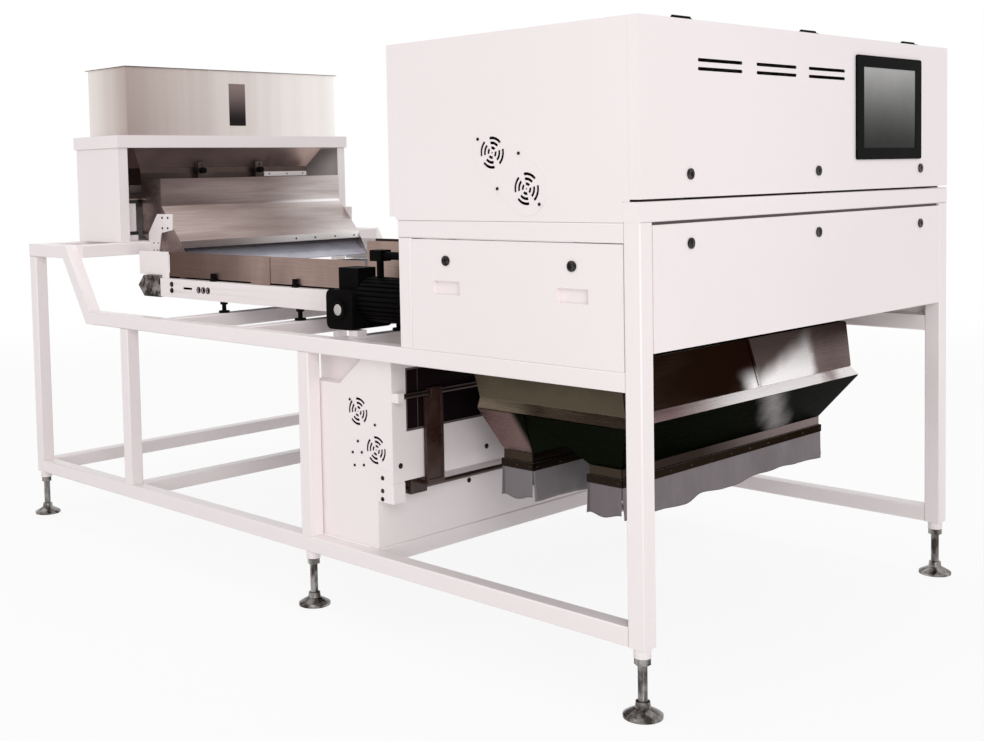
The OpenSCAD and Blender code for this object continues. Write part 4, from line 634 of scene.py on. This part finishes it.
def clothMaterial(name, spec):
    material, tree, inputs = startMaterial(name, specular=0.35)
    dress(tree, inputs, coatedWeave, {
        "Colour": spec["colour"], "Thread": spec["thread"], "Threads": spec["threads"],
        "Crease": spec["crease"]}, deep=0.0004, strength=0.35)
    return material


finishTables = [
    (paintMaterial, paintFinishes),
    (sheetMaterial, sheetFinishes),
    (grainMaterial, grainFinishes),
    (clothMaterial, clothFinishes),
    (binMaterial, {"binSteel": binFinish}),
    (gradedMaterial, gradedFinishes),
    (hopperMaterial, {"hopperSteel": hopperFinish}),
    (displayMaterial, {"display": displayFinish}),
    (glassMaterial, {"dark_glass": glassFinish}),
]
finishes = {}
for makeMaterial, table in finishTables:
    for name, spec in table.items():
        finishes[name] = makeMaterial(name, spec)

# nodes that differ from their slot's finish
ownFinish = {
    "hopper": "hopperSteel",
    "discharge_hopper": "binSteel",
    "feed_chute": "chuteSteel",
    "belt_bed_and_skirts": "skirtSteel",
    # the feed gate and the wiper rods take dark steel as painted shade
    "feed_gate": "paintedShadeSteel",
    "wiper_rods": "paintedShadeSteel",
    "roller_bearings": "bearingSteel",
}

for part in frame["record"]["subparts"]:
    node = nodes[part["node"]]
    node.data.materials.clear()
    node.data.materials.append(finishes[ownFinish.get(part["node"], part["material_slot"])])

# The chute's brackets are painted, its floor has a bright liner and its lip a pale strip
chuteFaces = {
    "bracketIn": 468.3, "floorFoot": (2420, 1007), "floorRise": 0.678, "floorThick": 4.0,
    "lipBack": 2470.2, "lipLow": 1070,
}


def paintChute(spec):
    chute = nodes["feed_chute"].data
    for finish in ("white_paint", "linerSteel", "lipSteel"):
        chute.materials.append(finishes[finish])
    footD, footZ = spec["floorFoot"]
    for face in chute.polygons:
        spots = [chute.vertices[k].co for k in face.vertices]
        backs = [(spot.y - frontY) * 1000 for spot in spots]
        above = [spot.z * 1000 - footZ - spec["floorRise"] * (d - footD) for spot, d in zip(spots, backs)]
        if abs(face.center.x) * 1000 > spec["bracketIn"]:
            face.material_index = 1
        elif max(abs(a) for a in above) < spec["floorThick"]:
            face.material_index = 2
        elif max(backs) < spec["lipBack"] and min(s.z for s in spots) * 1000 > spec["lipLow"]:
            face.material_index = 3


paintChute(chuteFaces)

# the keepers behind the gap under the door take dark steel as painted shade, so the gap reads dark along its
# length
gapShadeKeepers = {"low": 1268.3, "high": 1340.0, "deep": 60.0}
crossMembers = nodes["frame_cross_members"].data
crossMembers.materials.append(finishes["dark_metal"])
for face in crossMembers.polygons:
    inGap = gapShadeKeepers["low"] < face.center.z * 1000 < gapShadeKeepers["high"]
    if inGap and (face.center.y - frontY) * 1000 < gapShadeKeepers["deep"]:
        face.material_index = 1
print("finishes laid on", len(nodes), "nodes")


# Soft edges: tubes and folded sheet are not razor sharp

softEdges = {
    2.5: ["frame_left_side", "frame_right_side", "frame_cross_members", "gear_motor"],
    0.7: ["right_side_panel", "head_top_panel", "head_rear_panel", "feeder_housing", "feeder_cap",
          "lower_box_front", "conveyor_rails", "screen_bezel", "roller_bearings", "wiper"],
}

edgeRule = {"weld": 0.00001, "segments": 2, "angle": 40}

for width, names in softEdges.items():
    for name in names:
        weld = nodes[name].modifiers.new("weld", "WELD")
        weld.merge_threshold = edgeRule["weld"]
        bevel = nodes[name].modifiers.new("softEdge", "BEVEL")
        bevel.width = width / 1000
        bevel.segments = edgeRule["segments"]
        bevel.limit_method = "ANGLE"
        bevel.angle_limit = math.radians(edgeRule["angle"])
        bevel.harden_normals = True
print("edges softened")


# Mesh tools

def facing(point, direction):
    return Matrix.Translation(point) @ Vector(direction).to_track_quat("Z", "Y").to_matrix().to_4x4()


def joinRows(mesh, rows, capped=True):
    # walls between closed rows of points, and a face over each end
    for lower, upper in zip(rows, rows[1:]):
        for i in range(len(lower)):
            j = (i + 1) % len(lower)
            mesh.faces.new((lower[i], lower[j], upper[j], upper[i]))
    if capped:
        mesh.faces.new(list(reversed(rows[0])))
        mesh.faces.new(rows[-1])


def ringRow(mesh, place, segments, radius, height, flats=0):
    row = []
    for i in range(segments):
        turn = 2 * math.pi * i / segments
        reach = radius
        if flats:
            step = 2 * math.pi / flats
            reach = radius * math.cos(step / 2) / math.cos(turn % step - step / 2)
        spot = place @ Vector((reach * math.cos(turn), reach * math.sin(turn), height))
        row.append(mesh.verts.new(spot))
    return row


def addLathe(mesh, place, rings, segments=24):
    # rings run from the base up as (radius, height) or (radius, height, flats)
    joinRows(mesh, [ringRow(mesh, place, segments, *ring) for ring in rings])


def addRing(mesh, place, inner, outer, high, segments=28):
    # a flat washer with an eased rim
    section = [(inner, 0), (outer, 0), (outer, high * 0.7), (outer - high * 0.3, high), (inner, high)]
    rows = [ringRow(mesh, place, segments, *point) for point in section]
    joinRows(mesh, rows + rows[:1], capped=False)


def addPlate(mesh, place, wide, high, thick, soft=0.5):
    # a flat strip in millimetres, centred on its seat, with its outer edges eased
    rows = []
    for level, ease in ((0, 0), (thick - soft, 0), (thick, soft)):
        x, y = wide / 2 - ease, high / 2 - ease
        corners = ((-x, -y, level), (x, -y, level), (x, y, level), (-x, y, level))
        rows.append([mesh.verts.new(place @ (Vector(corner) / 1000)) for corner in corners])
    joinRows(mesh, rows)


headSeat, rivetSeat = -0.0005, -0.0003  # heads start just under the face that carries them


def panScrew(mesh, place, radius):
    high = radius * 0.6
    head = [(radius, headSeat), (radius, high * 0.4), (radius * 0.93, high * 0.75), (radius * 0.72, high)]
    socket = [(radius * 0.52, high, 6), (radius * 0.5, high * 0.45, 6)]
    addLathe(mesh, place, head + socket)


def hexBolt(mesh, place, radius):
    high = radius * 0.75
    washer = [(radius * 1.4, headSeat), (radius * 1.4, high * 0.22), (radius * 1.32, high * 0.3)]
    head = [(radius, high * 0.3, 6), (radius, high * 0.92, 6), (radius * 0.9, high, 6)]
    addLathe(mesh, place, washer + head)


def rivetHead(mesh, place, radius):
    high = radius * 0.55
    dome = [(radius * math.cos(a), high * math.sin(a)) for a in (0.3, 0.7, 1.1, 1.4)]
    addLathe(mesh, place, [(radius, rivetSeat)] + dome, segments=14)


def finishPiece(name, mesh, finish, body, smoothAngle=35):
    data = bpy.data.meshes.new(name)
    bmesh.ops.recalc_face_normals(mesh, faces=mesh.faces)
    mesh.to_mesh(data)
    mesh.free()
    data.shade_smooth()
    data.set_sharp_from_angle(angle=math.radians(smoothAngle))
    data.materials.append(finishes[finish])
    piece = bpy.data.objects.new(name, data)
    bpy.context.scene.collection.objects.link(piece)
    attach(piece, body)
    return piece


# Fasteners, as (across, back, up) on the face that carries them, dark unless the entry says otherwise

toLeft, toFront = (-1, 0, 0), (0, -1, 0)
railX = -555.0  # outer face of the left conveyor rail
chuteBracket = {
    "slots": [(2588, 1198), (2548, 1198), (2588, 1157), (2550, 1157)],
    "screws": [(2653, 1097), (2622, 1097), (2654, 1068), (2627, 1068)],
}
# folded plates over the ends of the lower wiper rod
rodBracket = {"thick": 2.2, "low": 370, "sideTop": 462, "frontTop": 429, "deep": (942.3, 1008), "wide": 48}
fasteners = {
    "fanPlateScrews": {"make": panScrew, "size": 4.5, "way": toLeft, "finish": "lock_chrome", "spots": [
        (faceX("head_side_panels"), d, z) for d, z in ((522, 1436), (379, 1395), (455, 1304), (311, 1263))]},
    "boxSideScrews": {"make": panScrew, "size": 4.5, "way": toLeft, "finish": "lock_chrome", "spots": [
        (faceX("lower_box"), d, z) for d, z in (
            (1128, 666), (1016, 600), (1095, 541), (1120, 504), (1078, 509), (1112, 465), (1070, 471))]},
    "sillBolts": {"make": hexBolt, "size": 6.0, "way": toFront, "spots": [
        (-368, 940, 483), (-743, 940, 482), (368, 940, 483), (743, 940, 482)]},
    "boxFrontBolts": {"make": hexBolt, "size": 6.0, "way": toFront, "spots": [
        (-378, 1010, 365), (378, 1010, 365), (0, 1010, 365)]},
    "rodBracketBolts": {"make": hexBolt, "size": 5.0, "way": toLeft, "spots": [
        (faceX("lower_box_front") - rodBracket["thick"], d, z)
        for d, z in ((985, 444), (986, 405), (987, 380))]},
    "railBolts": {"make": hexBolt, "size": 7.5, "way": toLeft, "spots": [
        (railX, 2410, z) for z in (922, 946)]},
    "bracketSlots": {"make": panScrew, "size": 4.5, "way": toLeft, "spots": [
        (faceX("feed_chute"), d, z) for d, z in chuteBracket["slots"]]},
    "bracketScrews": {"make": panScrew, "size": 3.0, "way": toLeft, "spots": [
        (faceX("feed_chute"), d, z) for d, z in chuteBracket["screws"]]},
    "lipBolts": {"make": panScrew, "size": 4.0, "way": toFront, "spots": [
        (x, 2467, 1090) for x in (112, 216, 328, 437)]},
    "foldWelds": {"make": rivetHead, "size": 2.6, "way": (0, -0.993, 0.116), "finish": "aluminium", "spots": [
        (-440 + 24 * k, 218.9, 700) for k in range(19)]},
}


def addFasteners(table):
    for name, spec in table.items():
        mesh = bmesh.new()
        for spot in spec["spots"]:
            spec["make"](mesh, facing(at(*spot), spec["way"]), spec["size"] / 1000)
        finishPiece(name, mesh, spec.get("finish", "dark_metal"), "machine")


# bushes round the three holes of the left rail
railRings = {"backs": (2230, 2200, 2170), "up": 932, "inner": 9.0, "outer": 12.5, "high": 2.0}


def addRailRings(spec):
    mesh = bmesh.new()
    inner, outer, high = (spec[k] / 1000 for k in ("inner", "outer", "high"))
    for d in spec["backs"]:
        addRing(mesh, facing(at(railX, d, spec["up"]), toLeft), inner, outer, high)
    finishPiece("railRings", mesh, "dark_metal", "machine")


# a cap closes the gearbox where the shaft comes through
shaftCap = {
    "spot": (-750.3, 1200, 934), "rings": [(17.5, 0), (17.5, 2.2), (15.5, 3.0), (6.0, 3.0), (5.0, 2.2)],
    "segments": 36,
}


def addShaftCap(spec):
    mesh = bmesh.new()
    rings = [(r / 1000, h / 1000) for r, h in spec["rings"]]
    addLathe(mesh, facing(at(*spec["spot"]), toLeft), rings, spec["segments"])
    finishPiece("shaftCap", mesh, "aluminium", "machine")


# a dark strip stands on the front panel's top fold as painted shade in the gap under the rail
panelGapShade = {
    "section": [(9, 1211.0), (13, 1211.0), (13, 1213.0), (11, 1213.6), (10.4, 1217.4), (9, 1217.4)],
    "half": 770,
}


def addPanelGapShade(spec):
    mesh = bmesh.new()
    ends = (-spec["half"], spec["half"])
    joinRows(mesh, [[mesh.verts.new(at(x, d, z)) for d, z in spec["section"]] for x in ends])
    # the strip's dark rubber colour is painted shade
    finishPiece("panelGapShade", mesh, "rubberAndGapShade", "front_panel")


# a pale strip is screwed on the right half of the feed gate
gateStrip = {
    "across": (196, 438), "face": 2787.7, "thick": 1.2, "up": (1357, 1377), "screws": (224, 325, 416),
    "screwSize": 3.2,
}


def addGateStrip(spec):
    (x0, x1), (z0, z1) = spec["across"], spec["up"]
    middle = (z0 + z1) / 2
    mesh = bmesh.new()
    seat = facing(at((x0 + x1) / 2, spec["face"], middle), toFront)
    addPlate(mesh, seat, x1 - x0, z1 - z0, spec["thick"])
    finishPiece("gateStrip", mesh, "white_paint", "feed_gate")
    mesh = bmesh.new()
    for x in spec["screws"]:
        place = facing(at(x, spec["face"] - spec["thick"], middle), toFront)
        panScrew(mesh, place, spec["screwSize"] / 1000)
    finishPiece("gateScrews", mesh, "dark_metal", "feed_gate")


def addRodBrackets(spec):
    mesh = bmesh.new()
    half = -faceX("lower_box_front")
    (near, far), low = spec["deep"], spec["low"]
    for side in (-1, 1):
        seat = facing(at(side * half, (near + far) / 2, (low + spec["sideTop"]) / 2), (side, 0, 0))
        addPlate(mesh, seat, far - near, spec["sideTop"] - low, spec["thick"])
        seat = facing(at(side * (half - spec["wide"] / 2), near, (low + spec["frontTop"]) / 2), toFront)
        addPlate(mesh, seat, spec["wide"], spec["frontTop"] - low, spec["thick"])
    finishPiece("rodBrackets", mesh, "white_paint", "machine")


# a gasket runs round the box window, and the middle pane meets the end panes at two bright edges
boxWindow = {
    "half": 716, "up": (581, 772), "face": 942.3, "thick": 1.6, "gasket": 6.5,
    "paneEdge": 665, "edge": 4,
}


def addWindowTrim(spec):
    (low, high), wide, face = spec["up"], spec["gasket"], spec["face"]
    middle, clear = (low + high) / 2, high - low - 2 * wide
    mesh = bmesh.new()
    for z in (low + wide / 2, high - wide / 2):
        addPlate(mesh, facing(at(0, face, z), toFront), 2 * spec["half"], wide, spec["thick"])
    for side in (-1, 1):
        x = side * (spec["half"] - wide / 2)
        addPlate(mesh, facing(at(x, face, middle), toFront), wide, clear, spec["thick"])
    finishPiece("windowGasket", mesh, "rubberAndGapShade", "machine")
    mesh = bmesh.new()
    for side in (-1, 1):
        seat = facing(at(side * spec["paneEdge"], face, middle), toFront)
        addPlate(mesh, seat, spec["edge"], clear, spec["thick"])
    # the pane edges take dark steel as painted shade
    finishPiece("paneEdges", mesh, "paintedShadeSteel", "machine")


addPanelGapShade(panelGapShade)
addGateStrip(gateStrip)
addRodBrackets(rodBracket)
addWindowTrim(boxWindow)
addFasteners(fasteners)
addRailRings(railRings)
addShaftCap(shaftCap)
print("fasteners added:", len(fasteners), "groups")


# Levelling feet: the studs carry a rolled thread

thread = {"major": 12.35, "minor": 11.2, "pitch": 3.0, "low": 34.0, "high": 131.0}


def addThread(mesh, centre, spec, segments=28, steps=6):
    rows = []
    count = int((spec["high"] - spec["low"]) / spec["pitch"] * steps)
    for k in range(count + 1):
        height = spec["low"] + (spec["high"] - spec["low"]) * k / count
        row = []
        for i in range(segments):
            phase = (height / spec["pitch"] + i / segments) % 1.0
            crest = 1 - abs(2 * phase - 1)
            radius = spec["minor"] + (spec["major"] - spec["minor"]) * crest
            turn = 2 * math.pi * i / segments
            spot = Vector((radius * math.cos(turn), radius * math.sin(turn), height))
            row.append(mesh.verts.new(centre + spot / 1000))
        rows.append(row)
    joinRows(mesh, rows)


for foot in [n for n in nodes if n.startswith("foot_")]:
    low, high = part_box(foot)
    mesh = bmesh.new()
    addThread(mesh, Vector(((low.x + high.x) / 2, (low.y + high.y) / 2, low.z)), thread)
    finishPiece(foot + "_thread", mesh, "zinc_steel", foot, 20)
print("foot threads cut")


# Skirts under the outlets: four flaps of coated cloth each, free at the corners

skirts = {
    "clampTop": 502.0,
    "halfWidth": 529.0,
    "thick": 1.6,
    "front": {"start": 290.0, "finish": "skirt_fabric"},
    "rear": {"start": 610.0, "finish": "paleSkirt"},
    "outletDeep": 110.0,
    "off": 4.0,
    "cornerGap": 2.0,
    "hem": [(-529, 112), (-400, 112), (-240, 122), (-150, 102), (20, 113), (140, 101), (270, 98), (420, 106),
            (529, 110)],
    "sideHem": [(0, 100), (60, 113), (110, 106)],
    "rows": 14,
    "waves": [(5.5, 58, 1.0), (3.0, 23, 2.1)],  # height, length and share of the seed
    "swell": 1.5,
    "flare": 2.0,
    "tuck": -1.2,
}


def smoothHem(points, spot):
    # eases between the drops measured along the hem
    for (a, dropA), (b, dropB) in zip(points, points[1:]):
        if spot <= b:
            t = (spot - a) / (b - a)
            t = t * t * (3 - 2 * t)
            return dropA + (dropB - dropA) * t
    return points[-1][1]


def skirtFlap(name, corner, along, out, width, hem, finish, seed, columns):
    # folds grow from the clamp to the hem
    mesh = bmesh.new()
    rows = skirts["rows"]
    grid = []
    for i in range(columns + 1):
        s = width * i / columns
        drop = smoothHem(hem, hem[0][0] + (hem[-1][0] - hem[0][0]) * i / columns)
        wave = sum(high * math.sin(s / length + share * seed) for high, length, share in skirts["waves"])
        line = []
        for k in range(rows + 1):
            v = k / rows
            fold = max(wave * v ** skirts["swell"] + skirts["flare"] * v, skirts["tuck"])
            spot = corner + along * s + out * fold - Vector((0, 0, drop * v))
            line.append(mesh.verts.new(spot / 1000))
        grid.append(line)
    for a, b in zip(grid, grid[1:]):
        for k in range(rows):
            mesh.faces.new((a[k], a[k + 1], b[k + 1], b[k]))
    area = sum(f.calc_area() for f in mesh.faces)
    piece = finishPiece(name, mesh, finish, "machine", 60)
    solidify = piece.modifiers.new("thickness", "SOLIDIFY")
    solidify.thickness = skirts["thick"] / 1000
    solidify.offset = 0
    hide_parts("outlet_skirts")
    return piece


def addSkirt(label, spec):
    half, off, gap = skirts["halfWidth"], skirts["off"], skirts["cornerGap"]
    near = frontY * 1000 + spec["start"] - off
    far = frontY * 1000 + spec["start"] + skirts["outletDeep"] + off
    right, back = Vector((1, 0, 0)), Vector((0, 1, 0))
    sideWide = far - near - 2 * gap
    mirrored = [(-spot, drop) for spot, drop in reversed(skirts["hem"])]
    flaps = (
        ("SkirtFront", (-half, near), right, -back, 2 * half, skirts["hem"], 0.4, 110),
        ("SkirtBack", (-half, far), right, back, 2 * half, mirrored, 1.7, 110),
        ("SkirtLeft", (-half, near + gap), back, -right, sideWide, skirts["sideHem"], 2.3, 14),
        ("SkirtRight", (half, near + gap), back, right, sideWide, skirts["sideHem"], 0.9, 14),
    )
    for kind, (x, y), along, out, width, hem, seed, columns in flaps:
        corner = Vector((x, y, skirts["clampTop"]))
        skirtFlap(label + kind, corner, along, out, width, hem, spec["finish"], seed, columns)


for label in ("front", "rear"):
    addSkirt(label, skirts[label])
print("skirts hung")


# Rivets along the strips that clamp the skirts

stripRivets = {"size": 3.0, "pitch": 96.0, "height": 491.0, "face": 7.9, "inset": 14.0, "endFace": 525.0}


def addStripRivets(spec):
    mesh = bmesh.new()
    half = skirts["halfWidth"] - spec["inset"]
    count = int(2 * half / spec["pitch"])
    for label in ("front", "rear"):
        near = skirts[label]["start"] - spec["face"]
        far = skirts[label]["start"] + skirts["outletDeep"] + spec["face"]
        for i in range(count + 1):
            x = -half + 2 * half * i / count
            rivetHead(mesh, facing(at(x, near, spec["height"]), toFront), spec["size"] / 1000)
            rivetHead(mesh, facing(at(x, far, spec["height"]), (0, 1, 0)), spec["size"] / 1000)
        for d in (near + spec["inset"], (near + far) / 2, far - spec["inset"]):
            for side in (-1, 1):
                spot = at(side * (spec["endFace"] + spec["face"]), d, spec["height"])
                rivetHead(mesh, facing(spot, (side, 0, 0)), spec["size"] / 1000)
    finishPiece("stripRivets", mesh, "dark_metal", "machine")


addStripRivets(stripRivets)
print("rivets set")


# Studio: pale floor, soft lamps, white surround

studio = {
    "surround": 0.66,
    "floor": {"colour": (0.72, 0.71, 0.71), "reach": 9.0, "segments": 96, "drop": 0.0005, "glow": 1.03,
              "glowShare": 0.86, "fade": (0.45, 0.98)},
    "lamps": {
        "frontSoftbox": {"place": (-10.5, -14.5, 8.2), "aim": (0, -0.2, 0.9), "size": 9.0, "power": 780},
        "leftSoftbox": {"place": (-10.0, 1.4, 3.4), "aim": (0, 0.3, 0.8), "size": 6.0, "power": 85},
        "topSoftbox": {"place": (0.6, 0.4, 5.6), "aim": (0, 0, 0.8), "size": 4.5, "power": 50},
        "lowFill": {"place": (-4.5, -6.0, 0.7), "aim": (-0.6, -0.3, 0.5), "size": 2.5, "power": 80},
    },
}


def seenDirectly(tree):
    # 1 for camera, glossy and transmission rays
    path = tree.nodes.new("ShaderNodeLightPath")
    either = mathValue(tree, "MAXIMUM", path.outputs["Is Camera Ray"], path.outputs["Is Glossy Ray"])
    return mathValue(tree, "MAXIMUM", either, path.outputs["Is Transmission Ray"])


def addSurround(strength):
    world = bpy.data.worlds.new("studioSurround")
    world.use_nodes = True
    tree = world.node_tree
    background = tree.nodes["Background"]
    writeSocket(background.inputs["Color"], (1, 1, 1))
    level = rangeValue(tree, seenDirectly(tree), 0.0, 1.0, strength, 1.0)
    tree.links.new(level, background.inputs["Strength"])
    bpy.context.scene.world = world


def addFloor(spec):
    mesh = bmesh.new()
    reach = spec["reach"]
    bmesh.ops.create_circle(mesh, cap_ends=True, segments=spec["segments"], radius=reach)
    data = bpy.data.meshes.new("studioFloor")
    mesh.to_mesh(data)
    mesh.free()
    floor = bpy.data.objects.new("studioFloor", data)
    bpy.context.scene.collection.objects.link(floor)
    floor.location = (0, 0, cadLow.z - spec["drop"])
    material = bpy.data.materials.new("studioFloor")
    material.use_nodes = True
    tree = material.node_tree
    tree.nodes.remove(tree.nodes["Principled BSDF"])
    matte = tree.nodes.new("ShaderNodeBsdfDiffuse")
    writeSocket(matte.inputs["Color"], spec["colour"])
    glow = tree.nodes.new("ShaderNodeEmission")
    glow.inputs["Strength"].default_value = spec["glow"]
    half = tree.nodes.new("ShaderNodeMixShader")
    clear = tree.nodes.new("ShaderNodeBsdfTransparent")
    fade = tree.nodes.new("ShaderNodeMixShader")
    tree.links.new(product(tree, seenDirectly(tree), spec["glowShare"]), half.inputs[0])
    tree.links.new(matte.outputs[0], half.inputs[1])
    tree.links.new(glow.outputs[0], half.inputs[2])
    away = nodeOutputs(tree, "ShaderNodeVectorMath", {0: objectPoint(tree)}, operation="LENGTH")["Value"]
    inner, outer = (reach * share for share in spec["fade"])
    tree.links.new(rangeValue(tree, away, inner, outer, smooth=True), fade.inputs[0])
    tree.links.new(half.outputs[0], fade.inputs[1])
    tree.links.new(clear.outputs[0], fade.inputs[2])
    tree.links.new(fade.outputs[0], tree.nodes["Material Output"].inputs["Surface"])
    data.materials.append(material)


def addLamps(lamps):
    for name, spec in lamps.items():
        data = bpy.data.lights.new(name, "AREA")
        data.shape = "DISK"
        data.size = spec["size"]
        data.energy = spec["power"]
        lamp = bpy.data.objects.new(name, data)
        bpy.context.scene.collection.objects.link(lamp)
        place = Vector(spec["place"])
        lamp.matrix_world = facing(place, place - Vector(spec["aim"]))


addSurround(studio["surround"])
addFloor(studio["floor"])
addLamps(studio["lamps"])
print("studio lit")
